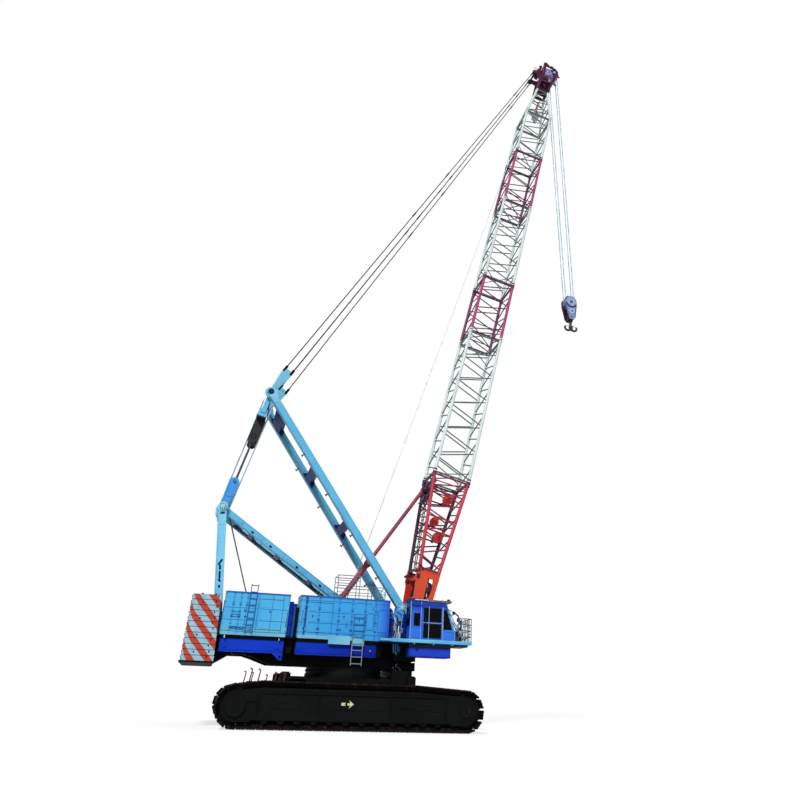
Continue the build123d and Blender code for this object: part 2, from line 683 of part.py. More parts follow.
def shrink(span):
    """A span drawn in at both ends by the gap round a pane."""
    return (span[0] + GLASS_GAP, span[1] - GLASS_GAP)


cut_outer = (cab_outer_y - 1, cab_outer_y + CAB_WALL + 25)
cut_inner = (cab_inner_y - CAB_WALL - 25, cab_inner_y + 1)
with BuildPart() as cab_shell:
    plate(cab_outline, (cab_outer_y, cab_inner_y))
    plate(
        cab_outline, (cab_outer_y + CAB_WALL, cab_inner_y - CAB_WALL), mode=Mode.SUBTRACT,
        gap=CAB_WALL,
    )
    block(cab_door_x, cut_outer, cab_door_z, Mode.SUBTRACT)
    block(corner_pane_x, cut_outer, corner_pane_z, Mode.SUBTRACT)
    plate(nose_pane, cut_outer, mode=Mode.SUBTRACT)
    block(cab_door_x, cut_inner, side_pane_z, Mode.SUBTRACT)
    block((CAB_REAR - 1, CAB_REAR + CAB_WALL + 25), back_pane_y, side_pane_z, Mode.SUBTRACT)
    block((roof_front - 30, cab_nose + 60), front_pane_y, front_pane_z, Mode.SUBTRACT)
    for rail_z in (low_rail_z, high_rail_z):
        block((CAB_REAR + 10, cab_door_x[1] + 30), rail_y, rail_z)
    block(
        (CAB_REAR - 20, roof_front + 90), (cab_outer_y - 20, cab_inner_y + 20),
        (cab_top, cab_top + 30),
    )
save(cab_shell.part, "cab_shell")

with BuildPart() as cab_glass:
    pane_y = (cab_outer_y + 10, cab_outer_y + 10 + PANE)
    block(shrink(corner_pane_x), pane_y, shrink(corner_pane_z))
    plate(nose_pane, pane_y, gap=GLASS_GAP)
    block(
        shrink(cab_door_x), (cab_inner_y - 10 - PANE, cab_inner_y - 10), shrink(side_pane_z)
    )
    block((CAB_REAR + 10, CAB_REAR + 10 + PANE), shrink(back_pane_y), shrink(side_pane_z))
    low, high = shrink(front_pane_z)
    plate(
        (
            (nose_x(low) - 8 - PANE, low), (nose_x(low) - 8, low),
            (nose_x(high) - 8, high), (nose_x(high) - 8 - PANE, high),
        ),
        shrink(front_pane_y),
    )
save(cab_glass.part, "cab_glass")

# Sliding door on the outside of the cab, hung between its two rails, with two panes
slide_y = (cab_outer_y - 36, cab_outer_y - 10)
slide_z = (low_rail_z[1] + SEAT, high_rail_z[0] - SEAT)
door_pane_x = (cab_door_x[0] + 20, cab_door_x[1] - 20)
door_panes = ((slide_z[0] + 47.5, slide_z[0] + 337.5), (slide_z[1] - 347.5, slide_z[1] - 47.5))
with BuildPart() as cab_door:
    block((cab_door_x[0] - 20, cab_door_x[1] + 20), slide_y, slide_z)
    for pane_z in door_panes:
        block(door_pane_x, (slide_y[0] - 1, slide_y[1] + 1), pane_z, Mode.SUBTRACT)
save(cab_door.part, "cab_door")
with BuildPart() as cab_door_glass:
    for pane_z in door_panes:
        block(shrink(door_pane_x), (slide_y[0] + 10, slide_y[0] + 10 + PANE), shrink(pane_z))
save(cab_door_glass.part, "cab_door_glass")

# Seat on its base, and the control desk in front of it
seat_x = CAB_REAR + 270
seat_y = (cab_outer_y + 90, cab_inner_y - 90)
cushion_z = (floor_z + 125, floor_z + 205)
with BuildPart() as cab_seat:
    block((seat_x + 10, seat_x + 250), (seat_y[0] + 20, seat_y[1] - 20), (floor_z, cushion_z[0]))
    block((seat_x, seat_x + 310), seat_y, cushion_z)
    plate(
        (
            (seat_x, cushion_z[1]), (seat_x + 70, cushion_z[1]),
            (seat_x + 10, cushion_z[1] + 370), (seat_x - 60, cushion_z[1] + 370),
        ),
        (seat_y[0] + 20, seat_y[1] - 20),
    )
    block((cab_nose - 390, cab_nose - 150), seat_y, (floor_z, floor_z + 275))
save(cab_seat.part, "cab_seat")

# Cab platform: the walkway with its guard rail, and the tank below it
walkway_y = (cab_outer_y - 160, cab_inner_y + 10)
walkway_front = cab_nose + 360
rail_top_z, rail_mid_z = walkway_top + 500, walkway_top + 250
rail_x = (cab_nose + 40, cab_nose + 190, walkway_front - 15)
side_rail_y, end_rail_y = walkway_y[0] + 15, walkway_y[1] - 25
tank_z = (deck_bottom - 248, deck_bottom)
tank_front = cab_nose - 100
with BuildPart() as cab_platform:
    block((front_house_x[1] + 20, walkway_front), walkway_y, (DECK_TOP, walkway_top))
    block((cab_nose, cab_nose + 270), (walkway_y[0] + 30, walkway_y[1] - 40), (DECK_TOP - 48, DECK_TOP))
    block((CAB_REAR - 4, tank_front), (cab_outer_y, 30 - side_beam_y[0]), tank_z)
    block((GIRDER_FRONT + 10, tank_front), (30 - side_beam_y[0], cab_inner_y - 10), tank_z)
    block(
        (DECK_FRONT + 10, tank_front - 10), (cab_outer_y + 10, cab_inner_y - 30),
        (deck_bottom, DECK_TOP),
    )
    posts = [((x, side_rail_y, walkway_top), (x, side_rail_y, rail_top_z)) for x in rail_x]
    for y in ((side_rail_y + end_rail_y) / 2, end_rail_y):
        posts.append(((rail_x[2], y, walkway_top), (rail_x[2], y, rail_top_z)))
    rails = []
    for z in (rail_mid_z, rail_top_z):
        corner = (rail_x[2], side_rail_y, z)
        rails += [((rail_x[0], side_rail_y, z), corner), (corner, (rail_x[2], end_rail_y, z))]
    rods(posts + rails, RAIL_RADIUS)
save(cab_platform.part, "cab_platform")

# Guard rails on the front house roof
# x, height above the roof
rail_posts = ((-500, 492), (10, 492), (300, 272), (front_house_x[1] - 120, 272))
with BuildPart() as roof_rails:
    for y in (-DECK_HALF_WIDTH + 60, -HOUSE_INNER_Y - 80):
        posts = [((x, y, front_roof), (x, y, front_roof + high)) for x, high in rail_posts]
        rails = [
            ((rail_posts[0][0], y, front_roof + 492), (rail_posts[1][0], y, front_roof + 492)),
            ((rail_posts[0][0], y, front_roof + 272), (rail_posts[3][0], y, front_roof + 272)),
        ]
        rods(posts + rails, RAIL_RADIUS)
save(roof_rails.part, "roof_rails")

# Ladders: one up the rear house, one hung below the front house
ladder_y = -DECK_HALF_WIDTH - 35
# x, half width, bottom z, top z, z of its upper brackets
ladder_table = (
    (-2330, 72, DECK_TOP + 22, rear_roof + 174, rear_roof - 60),
    (50, 120, DECK_TOP - 500, DECK_TOP + 520, DECK_TOP + 470),
)
with BuildPart() as ladders:
    for ladder_x, half_gap, low, high, bracket_z in ladder_table:
        left, right = ladder_x - half_gap, ladder_x + half_gap
        bars = [((x, ladder_y, low), (x, ladder_y, high)) for x in (left, right)]
        for index in range(int((high - low - 60) / 130) + 1):
            rung_z = low + 40 + index * 130
            bars.append(((left, ladder_y, rung_z), (right, ladder_y, rung_z)))
        rods(bars, RAIL_RADIUS)
        for z in (DECK_TOP + 30, bracket_z):
            for x in (left, right):
                block((x - 8, x + 8), (ladder_y, -DECK_HALF_WIDTH), (z - 8, z + 8))
save(ladders.part, "ladders")

# ---------------------------------------------------------------- boom
# Foot: two plates with a see-through window, a boss at each pin and cross tubes
foot_plate_y = (BOOM_HALF_WIDTH - FOOT_PLATE / 2, BOOM_HALF_WIDTH + FOOT_PLATE / 2)
plate_half = FOOT_HALF_DEPTH + CHORD_RADIUS
window = ((10, 160), (150, 160), (170, 380), (120, 720), (20, 720))
with BuildPart() as boom_foot:
    for span in both_sides(foot_plate_y):
        plate(
            (
                (-plate_half, FOOT_LENGTH), (plate_half, FOOT_LENGTH), (plate_half - 54, 420),
                (100, -40), (-100, -40), (-plate_half + 84, 420),
            ),
            span,
            boom_side,
        )
        plate([(x, FOOT_LENGTH - down) for x, down in window], span, boom_side, Mode.SUBTRACT)
    for span in both_sides(lug_y):
        cross_pin(0, 0, BOOM_PIN + 60, span, boom_side)
        cross_pin(0, 0, BOOM_PIN + PIN_FIT, span, boom_side, Mode.SUBTRACT)
    for x, z in ((-150, FOOT_LENGTH - 150), (-110, FOOT_LENGTH / 2)):
        cross_pin(x, z, 55, (-foot_plate_y[0], foot_plate_y[0]), boom_side)
save(boom_foot.part, "boom_foot")


def taper(low, high, value_low, value_high):
    """A size that changes evenly with the station between two stations."""
    return lambda station: value_low + (station - low) / (high - low) * (value_high - value_low)


def panel_count(length, pitch):
    """Panels of zigzag lacing between the end frames of a section."""
    return round((length - 140) / pitch)


def zigzag(stations, corner_at, first):
    """Bars up all four faces; at each chord the faces on either side take turns."""
    pairs = []
    turn = first
    for low, high in zip(stations, stations[1:]):
        low, high = low + 30, high - 30
        for face in (-1, 1):
            pairs.append((corner_at(-face * turn, face, low), corner_at(face * turn, face, high)))
            pairs.append((corner_at(face, face * turn, low), corner_at(face, -face * turn, high)))
        turn = -turn
    return pairs


def lattice(low, high, depth_at, width_at, sheaves=(), lacing_pitch=LACING_PITCH, first=1):
    """One section: four chords, zigzag lacing, a frame at each end and bosses for sheaves."""

    def corner(x_side, y_side, station):
        return (x_side * depth_at(station), y_side * width_at(station), station)

    panels = panel_count(high - low, lacing_pitch)
    pitch = (high - low - 140) / panels
    stations = [low + 70 + pitch * index for index in range(panels + 1)]
    signs = ((-1, -1), (-1, 1), (1, 1), (1, -1))
    with BuildPart(boom) as section:
        rods([(corner(*s, low - 40), corner(*s, high + 40)) for s in signs], CHORD_RADIUS)
        rods(zigzag(stations, corner, first), LACING_RADIUS)
        for station in (low + 30, high - 30):
            rods(
                [
                    (corner(*first, station), corner(*second, station))
                    for first, second in zip(signs, signs[1:] + signs[:1])
                ],
                LACING_RADIUS + 6,
            )
        for x, z, _ in sheaves:
            for span in both_sides((BOOM_HALF_WIDTH - 22, BOOM_HALF_WIDTH + 22)):
                cross_pin(x, z, guide_shaft + 22, span, boom_side)
                bar_y = sum(span) / 2
                rods([((-depth_at(z), bar_y, z), (depth_at(z), bar_y, z))], LACING_RADIUS + 2)
                cross_pin(x, z, guide_shaft + PIN_FIT, span, boom_side, Mode.SUBTRACT)
        for station in (low - 200, high + 200):
            with Locations((0, 0, station)):
                Box(3 * BOOM_HALF_DEPTH, 3 * BOOM_HALF_WIDTH, 400, mode=Mode.SUBTRACT)
    return section.part


guide_shaft = 25
# x, station, radius
guide_table = (
    (160, base_top - 450, 120), (-60, base_top - 1120, 105), (130, base_top - 1480, 125)
)
even_depth = taper(0, 1, BOOM_HALF_DEPTH, BOOM_HALF_DEPTH)
even_width = taper(0, 1, BOOM_HALF_WIDTH, BOOM_HALF_WIDTH)
base_depth = taper(FOOT_LENGTH, base_top, FOOT_HALF_DEPTH, BOOM_HALF_DEPTH)
with BuildPart() as boom_base:
    add(
        lattice(
            FOOT_LENGTH, base_top, base_depth, even_width, guide_table, BASE_LACING_PITCH
        )
    )
    # Cross tube and a pair of lugs that carry the head of the backstop
    bar_x = -base_depth(backstop_top_station)
    cross_pin(
        bar_x, backstop_top_station, 30, (-BOOM_HALF_WIDTH, BOOM_HALF_WIDTH), boom_side
    )
    for span in both_sides((95, 130)):
        plate(
            (
                (bar_x + 20, backstop_top_station - 90), (bar_x + 20, backstop_top_station + 90),
                (-backstop_out - 55, backstop_top_station + 45),
                (-backstop_out - 55, backstop_top_station - 45),
            ),
            span,
            boom_side,
        )
        cross_pin(
            -backstop_out, backstop_top_station, 32 + PIN_FIT, span, boom_side, Mode.SUBTRACT
        )
save(boom_base.part, "boom_base")

# Straight sections: name, length
insert_table = (
    ("boom_insert_1", 4580),
    ("boom_insert_2", 2140),
    ("boom_insert_3", 3420),
    ("boom_insert_4", 2520),
    ("boom_insert_5", 2260),
)
# The lacing runs on from section to section: an odd number of panels turns the next one over
top_start = base_top
first_turn = (-1) ** panel_count(BASE_LENGTH, BASE_LACING_PITCH)
for insert_name, insert_length in insert_table:
    insert_end = top_start + insert_length
    save(lattice(top_start, insert_end, even_depth, even_width, first=first_turn), insert_name)
    first_turn *= (-1) ** panel_count(insert_length, LACING_PITCH)
    top_start = insert_end
top_end = top_start + TOP_LENGTH
top_depth = taper(top_start, top_end, BOOM_HALF_DEPTH, HEAD_HALF_DEPTH)
top_width = taper(top_start, top_end, BOOM_HALF_WIDTH, HEAD_HALF_WIDTH)
save(
    lattice(
        top_start, top_end, top_depth, top_width, lacing_pitch=TOP_LACING_PITCH, first=first_turn
    ),
    "boom_top",
)

# Boom head: side plates with the wing of the pendant pin, cross tubes and the hoist sheaves
head_edge = HEAD_HALF_DEPTH + CHORD_RADIUS
head_shaft = (head_edge + 22, top_end + 1400)
pendant_pin = (-head_edge - 246, top_end + 870)
# x, distance above the top section
head_outline = (
    (-head_edge, 0), (head_edge, 0), (head_edge + 26, 420), (head_edge + 196, 1220),
    (head_edge + 196, 1520), (head_edge + 56, 1660), (60, 1680), (-120, 1820), (-230, 1770),
    (-200, 1120), (-head_edge + 14, 990), (-head_edge - 286, 960), (-head_edge - 346, 870),
    (-head_edge - 286, 780), (-head_edge + 14, 700),
)
with BuildPart() as boom_head:
    for span in both_sides(HEAD_PLATE_Y):
        plate([(x, top_end + up) for x, up in head_outline], span, boom_side)
        cross_pin(*head_shaft, HEAD_PIN + PIN_FIT, span, boom_side, Mode.SUBTRACT)
        cross_pin(*pendant_pin, PENDANT_PIN + PIN_FIT, span, boom_side, Mode.SUBTRACT)
    for x, up in ((-200, 90), (200, 90), (-160, 1220), (-150, 1720)):
        cross_pin(x, top_end + up, 40, (-HEAD_PLATE_Y[0], HEAD_PLATE_Y[0]), boom_side)
save(boom_head.part, "boom_head")

with BuildPart() as head_sheaves:
    cross_pin(*head_shaft, HEAD_PIN, (-HEAD_PLATE_Y[1] - 20, HEAD_PLATE_Y[1] + 20), boom_side)
    for span in spaced(6, 56, 38):
        cross_pin(*head_shaft, HEAD_SHEAVE_RADIUS, span, boom_side)
save(head_sheaves.part, "head_sheaves")

# Guide sheaves inside the base section, each on a cross shaft
with BuildPart() as guide_sheaves:
    for x, z, radius in guide_table:
        cross_pin(x, z, guide_shaft, (-BOOM_HALF_WIDTH - 30, BOOM_HALF_WIDTH + 30), boom_side)
        cross_pin(x, z, radius, (-60, 60), boom_side)
save(guide_sheaves.part, "guide_sheaves")

# Backstop: a telescopic tube from the rear of the base section down to its seat
backstop_foot = seat_face + backstop_run * SEAT
collar = seat_face + backstop_run * 1000
with BuildPart() as backstop:
    rods([(backstop_foot, collar)], BACKSTOP_RADIUS)
    rods([(collar, backstop_top)], BACKSTOP_RADIUS - 22)
    rods([(collar - backstop_run * 40, collar + backstop_run * 60)], BACKSTOP_RADIUS + 22)
    rods([(backstop_foot, backstop_foot + backstop_run * 60)], BACKSTOP_RADIUS + 15)
    cross_pin(-backstop_out, backstop_top_station, 62, (-90, 90), boom_side)
    cross_pin(-backstop_out, backstop_top_station, 32, (-150, 150), boom_side)
save(backstop.part, "backstop")

# ---------------------------------------------------------------- mast
tip_slot_y = (mast_y[0] + 53, mast_y[0] + 123)
with BuildPart() as mast_beam:
    plate(
        (
            (-80, -70), (80, -70), (MAST_HALF_DEPTH, 200),
            (MAST_HALF_DEPTH, MAST_LENGTH - 220), (MAST_HALF_DEPTH + 60, MAST_LENGTH - 60),
            (60, MAST_LENGTH + 100), (-60, MAST_LENGTH + 100),
            (-MAST_HALF_DEPTH, MAST_LENGTH - 60), (-MAST_HALF_DEPTH, 200),
        ),
        (-mast_y[1], -mast_y[0]),
        mast_side,
    )
    plate(
        (
            (-400, MAST_LENGTH - 230), (400, MAST_LENGTH - 230),
            (400, MAST_LENGTH + 200), (-400, MAST_LENGTH + 200),
        ),
        (-tip_slot_y[1], -tip_slot_y[0]),
        mast_side,
        Mode.SUBTRACT,
    )
    hole_y = (-mast_y[1] - 1, 1 - mast_y[0])
    cross_pin(0, 0, MAST_PIN + PIN_FIT, hole_y, mast_side, Mode.SUBTRACT)
    cross_pin(0, MAST_LENGTH, TIP_PIN + PIN_FIT, hole_y, mast_side, Mode.SUBTRACT)
save_pair(mast_beam.part, "mast_beam")

# Cross beams: distance below the mast head, half length
cross_table = ((3880, 100), (2300, 110), (600, 170))
web_half = MAST_HALF_DEPTH - 15
with BuildPart() as mast_crossbeams:
    for down, half in cross_table:
        middle = MAST_LENGTH - down
        plate(
            (
                (-web_half, middle - half), (web_half, middle - half),
                (web_half, middle + half), (-web_half, middle + half),
            ),
            (-mast_y[0], mast_y[0]),
            mast_side,
        )
    cross_pin(0, MAST_LENGTH, TIP_PIN, (-mast_y[1] - 20, mast_y[1] + 20), mast_side)
save(mast_crossbeams.part, "mast_crossbeams")

# Upper spreader: links from the mast head, a frame and the sheave block, along one line
upper_line = side_plane(mast_tip.X, mast_tip.Z, reeving_angle)
link_y = (mast_y[0] - 42, mast_y[0] - 10)
link_length = 470
block_y = (275, 300)
sheave_down = link_length + 640
with BuildPart() as upper_spreader:
    for span in both_sides(link_y):
        plate(
            ((-60, 60), (60, 60), (60, -link_length - 60), (-60, -link_length - 60)),
            span,
            upper_line,
        )
        cross_pin(0, 0, TIP_PIN + PIN_FIT, span, upper_line, Mode.SUBTRACT)
    plate(
        (
            (-90, -link_length + 50), (90, -link_length + 50),
            (130, -link_length - 160), (-130, -link_length - 160),
        ),
        (-link_y[0], link_y[0]),
        upper_line,
    )
    for span in both_sides(block_y):
        plate(
            (
                (-120, -link_length - 160), (120, -link_length - 160),
                (120, -sheave_down - 100), (60, -sheave_down - 160),
                (-60, -sheave_down - 160), (-120, -sheave_down - 100),
            ),
            span,
            upper_line,
        )
    cross_pin(0, -sheave_down, 40, (-block_y[1], block_y[1]), upper_line)
    for span in spaced(8, 60, 40):
        cross_pin(0, -sheave_down, 125, span, upper_line)
save(upper_spreader.part, "upper_spreader")

# ---------------------------------------------------------------- pendant stays
pendant_end = boom_side.from_local_coords((*pendant_pin, 0))
stay_line = pendant_end - mast_tip
stay_length = stay_line.length
stay_side = side_plane(mast_tip.X, mast_tip.Z, degrees(atan2(stay_line.Z, stay_line.X)))
stay_foot_y, stay_head_y = sum(tip_slot_y) / 2, HEAD_PLATE_Y[1] + 50
stay_plate = 34
triangle_station = 720
rope_gap = 108
with BuildPart() as pendant_stays:
    for side in (-1, 1):
        eye_y = (side * stay_foot_y - stay_plate / 2, side * stay_foot_y + stay_plate / 2)
        cross_pin(0, 0, STAY_EYE + 55, eye_y, stay_side)
        plate(
            (
                (-55, 0), (55, 0), (rope_gap + 30, triangle_station - 100),
                (rope_gap + 30, triangle_station + 60), (-rope_gap - 30, triangle_station + 60),
                (-rope_gap - 30, triangle_station - 100),
            ),
            eye_y,
            stay_side,
        )
        cross_pin(0, 0, STAY_EYE, eye_y, stay_side, Mode.SUBTRACT)
        head_y = sorted((side * (HEAD_PLATE_Y[1] + 2), side * (HEAD_PLATE_Y[1] + 76)))
        cross_pin(0, stay_length, PENDANT_PIN + 60, head_y, stay_side)
        for gap in (-rope_gap, rope_gap):
            foot = stay_side.from_local_coords((gap, triangle_station, -side * stay_foot_y))
            head = stay_side.from_local_coords((gap * 0.45, stay_length - 30, -side * stay_head_y))
            rods([(foot, head)], STAY_ROPE)
    pin_end = HEAD_PLATE_Y[1] + 76
    cross_pin(0, stay_length, PENDANT_PIN, (-pin_end, pin_end), stay_side)
save(pendant_stays.part, "pendant_stays")

# ---------------------------------------------------------------- hoist falls, block and hook
shaft_point = boom_side.from_local_coords((*head_shaft, 0))
fall_x = shaft_point.X
rope_out = FALL_ROPE + PIN_FIT
with BuildPart() as hoist_falls:
    for rope_y in FALL_Y:
        for side in (-1, 1):
            low_x = fall_x + side * (BLOCK_SHEAVE_RADIUS + rope_out)
            high_x = fall_x + side * (HEAD_SHEAVE_RADIUS + rope_out)
            rods(
                [((low_x, rope_y, BLOCK_SHAFT_Z), (high_x, rope_y, shaft_point.Z))], FALL_ROPE
            )
save(hoist_falls.part, "hoist_falls")

block_side = side_plane(fall_x, BLOCK_SHAFT_Z)
cheek_y = (122, 152)
bed_z = (BLOCK_SHAFT_Z - 620, BLOCK_SHAFT_Z - 480)
with BuildPart() as hook_block:
    for span in both_sides(cheek_y):
        plate(
            (
                (-215, 120), (-120, 250), (120, 250), (215, 120), (215, -90),
                (130, -560), (60, -640), (-60, -640), (-130, -560), (-215, -90),
            ),
            span,
            block_side,
        )
    for rope_y in FALL_Y:
        cross_pin(0, 0, BLOCK_SHEAVE_RADIUS, (rope_y - 19, rope_y + 19), block_side)
    cross_pin(0, 0, 50, (-cheek_y[1] - 18, cheek_y[1] + 18), block_side)
    block((fall_x - 90, fall_x + 90), (-cheek_y[0], cheek_y[0]), bed_z)
    post(fall_x, 0, bed_z, HOOK_SHANK + 2, Mode.SUBTRACT)
save(hook_block.part, "hook_block")

# Ramshorn hook on its shank, with a nut above the bed and a pin bore through the body
hook_z = BLOCK_SHAFT_Z - 900
horn_radius, horn_bar = 105, 36
with BuildPart() as hook:
    post(fall_x, 0, (hook_z, bed_z[1] + 60), HOOK_SHANK)
    post(fall_x, 0, (bed_z[1] + SEAT, bed_z[1] + SEAT + 50), HOOK_SHANK + 35)
    for side in (-1, 1):
        with BuildLine(side_plane(fall_x + side * horn_radius, hook_z)) as horn:
            CenterArc((0, 0), horn_radius, 90 + 90 * side, 200 * side)
        with BuildSketch(Plane(origin=horn.line @ 0, z_dir=horn.line % 0)) as section:
            Circle(horn_bar)
        sweep(section.sketch, path=horn.line)
    block((fall_x - 55, fall_x + 55), (-45, 45), (hook_z - 95, hook_z + 55))
    cross_pin(fall_x, hook_z - 20, HOOK_BORE, (-60, 60), mode=Mode.SUBTRACT)
save(hook.part, "hook")
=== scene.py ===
"""Looks of the lattice-boom crawler crane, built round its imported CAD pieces, in metres."""
import math

import bmesh
import bpy
from mathutils import Matrix, Quaternion, Vector, geometry


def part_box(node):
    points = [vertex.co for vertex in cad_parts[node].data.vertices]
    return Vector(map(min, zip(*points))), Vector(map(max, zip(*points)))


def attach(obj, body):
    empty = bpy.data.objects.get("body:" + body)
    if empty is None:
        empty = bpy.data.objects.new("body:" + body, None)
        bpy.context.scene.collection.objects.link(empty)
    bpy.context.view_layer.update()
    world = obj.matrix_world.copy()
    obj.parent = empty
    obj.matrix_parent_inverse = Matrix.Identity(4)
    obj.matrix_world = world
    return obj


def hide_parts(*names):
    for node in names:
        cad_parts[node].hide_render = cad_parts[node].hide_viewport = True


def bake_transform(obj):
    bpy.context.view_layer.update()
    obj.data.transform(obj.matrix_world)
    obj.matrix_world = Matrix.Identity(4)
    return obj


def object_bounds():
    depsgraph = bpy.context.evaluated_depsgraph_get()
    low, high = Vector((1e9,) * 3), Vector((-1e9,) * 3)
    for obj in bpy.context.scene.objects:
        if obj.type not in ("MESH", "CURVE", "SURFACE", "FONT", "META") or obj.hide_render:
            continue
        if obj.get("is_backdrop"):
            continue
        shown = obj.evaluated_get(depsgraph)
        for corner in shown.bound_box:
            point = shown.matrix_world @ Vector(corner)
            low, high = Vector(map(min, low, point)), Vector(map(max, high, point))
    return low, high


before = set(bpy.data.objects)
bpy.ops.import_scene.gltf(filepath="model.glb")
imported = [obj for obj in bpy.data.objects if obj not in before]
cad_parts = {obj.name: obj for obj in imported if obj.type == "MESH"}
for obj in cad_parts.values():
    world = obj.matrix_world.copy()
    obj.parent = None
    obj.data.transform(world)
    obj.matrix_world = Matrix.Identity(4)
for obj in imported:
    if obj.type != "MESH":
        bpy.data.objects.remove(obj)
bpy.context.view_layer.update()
scene = bpy.context.scene

# ------------ floor, light and camera
# A matt white studio floor under an even white sky, with one broad lamp from the right rear.
# The camera stands low and near the ground, as a person would.


def linear(code):
    """Linear colour, with alpha, of an sRGB hex code."""
    shares = [int(code[i : i + 2], 16) / 255 for i in (1, 3, 5)]
    return [s / 12.92 if s <= 0.04045 else ((s + 0.055) / 1.055) ** 2.4 for s in shares] + [1]


def node(tree, kind, inputs=None, **settings):
    """Adds a node; an input takes a value, a hex colour, an output or a node's first output."""
    made = tree.nodes.new(kind)
    for name, value in settings.items():
        setattr(made, name, value)
    for key, value in (inputs or {}).items():
        if isinstance(value, bpy.types.Node):
            value = value.outputs[0]
        if isinstance(value, bpy.types.NodeSocket):
            tree.links.new(value, made.inputs[key])
        else:
            is_colour = isinstance(value, str) and value.startswith("#")
            made.inputs[key].default_value = linear(value) if is_colour else value
    return made


def blank_tree(data):
    """The emptied node tree of a material or world."""
    data.use_nodes = True
    data.node_tree.nodes.clear()
    return data.node_tree


def shown(name, data):
    """A new object in the scene, for a mesh, a lamp or a camera."""
    made = bpy.data.objects.new(name, data)
    scene.collection.objects.link(made)
    return made


def aim(thing, turn):
    """Turns an object by a quaternion."""
    thing.rotation_mode = "QUATERNION"
    thing.rotation_quaternion = turn


SKY_FILL, BACKDROP, FLOOR_GLOW, FLOOR_RADIUS = 0.33, 1.0, 1.15, 140
scene.world = bpy.data.worlds.new("studio_sky")
tree = blank_tree(scene.world)
rays = node(tree, "ShaderNodeLightPath").outputs
seen = rays["Is Camera Ray"]
for ray in ("Is Glossy Ray", "Is Transmission Ray"):
    seen = node(tree, "ShaderNodeMath", {0: seen, 1: rays[ray]}, operation="ADD", use_clamp=True)
fill = node(tree, "ShaderNodeBackground", {"Color": "#FFFFFF", "Strength": SKY_FILL})
backdrop = node(tree, "ShaderNodeBackground", {"Color": "#FFFFFF", "Strength": BACKDROP})
mixed = node(tree, "ShaderNodeMixShader", {0: seen, 1: fill, 2: backdrop})
node(tree, "ShaderNodeOutputWorld", {"Surface": mixed})

floor_paint = bpy.data.materials.new("matt_white_floor")
tree = blank_tree(floor_paint)
rays = node(tree, "ShaderNodeLightPath").outputs
share = node(tree, "ShaderNodeMath", {0: rays["Is Camera Ray"], 1: 0.6}, operation="MULTIPLY")
matt = node(tree, "ShaderNodeBsdfDiffuse", {"Color": "#F7F7F7"})
glow = node(tree, "ShaderNodeEmission", {"Color": "#FFFFFF", "Strength": FLOOR_GLOW})
mixed = node(tree, "ShaderNodeMixShader", {0: share, 1: matt, 2: glow})
node(tree, "ShaderNodeOutputMaterial", {"Surface": mixed})
floor_mesh = bpy.data.meshes.new("floor")
bm = bmesh.new()
bmesh.ops.create_circle(bm, cap_ends=True, segments=96, radius=FLOOR_RADIUS)
bm.to_mesh(floor_mesh)
bm.free()
floor_mesh.materials.append(floor_paint)
shown("floor", floor_mesh)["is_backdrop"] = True

lamp = bpy.data.lights.new("broad_lamp", "SUN")
lamp.energy, lamp.angle = 2.9, math.radians(9)
aim(shown("broad_lamp", lamp), Vector((0.35, 0.74, -0.58)).to_track_quat("-Z", "Y"))

camera = bpy.data.cameras.new("camera")
camera.lens, camera.sensor_width = 30.47, 36
camera.shift_x, camera.shift_y = -0.0599, -0.1303
camera.clip_end = 400
heading, tilt, lean = math.radians(16.35), math.radians(30.69), math.radians(-1.75)
sight = Vector((
    math.sin(heading) * math.cos(tilt), math.cos(heading) * math.cos(tilt), math.sin(tilt)
))
viewpoint = shown("camera", camera)
viewpoint.location = (-2.997, -17.93, 0.6436)
aim(viewpoint, Quaternion(sight, lean) @ sight.to_track_quat("-Z", "Y"))
scene.camera = viewpoint
scene.view_settings.view_transform = "Standard"

# ------------ tracks
# Each track is a closed chain of cast manganese-steel shoes on forged links, held by pins.
# Dust and oil leave it nearly black, with brown rust where stones have scraped the shoes.


def noise(tree, scale, detail, stretch=(1, 1, 1), roughness=0.5):
    """Cloudy noise in object coordinates, stretched along the axes."""
    place = node(tree, "ShaderNodeTexCoord").outputs["Object"]
    place = node(tree, "ShaderNodeMapping", {"Vector": place, "Scale": stretch})
    values = {"Vector": place, "Scale": scale, "Detail": detail, "Roughness": roughness}
    return node(tree, "ShaderNodeTexNoise", values)


def ramp(tree, value, low, high, start=0.0, end=1.0):
    """Turns a value that runs from low to high into one from start to end."""
    values = {"Value": value, "From Min": low, "From Max": high, "To Min": start, "To Max": end}
    return node(tree, "ShaderNodeMapRange", values)


def mix(tree, share, first, second):
    """A share of a second colour laid over a first."""
    mixed = node(tree, "ShaderNodeMix", {0: share, 6: first, 7: second}, data_type="RGBA")
    return mixed.outputs[2]


def coat(tree, relief, depth, strength, values):
    """Ends a material with its shader, over a relief of small depth."""
    values["Normal"] = node(
        tree, "ShaderNodeBump", {"Height": relief, "Strength": strength, "Distance": depth}
    )
    shader = node(tree, "ShaderNodeBsdfPrincipled", values)
    node(tree, "ShaderNodeOutputMaterial", {"Surface": shader})


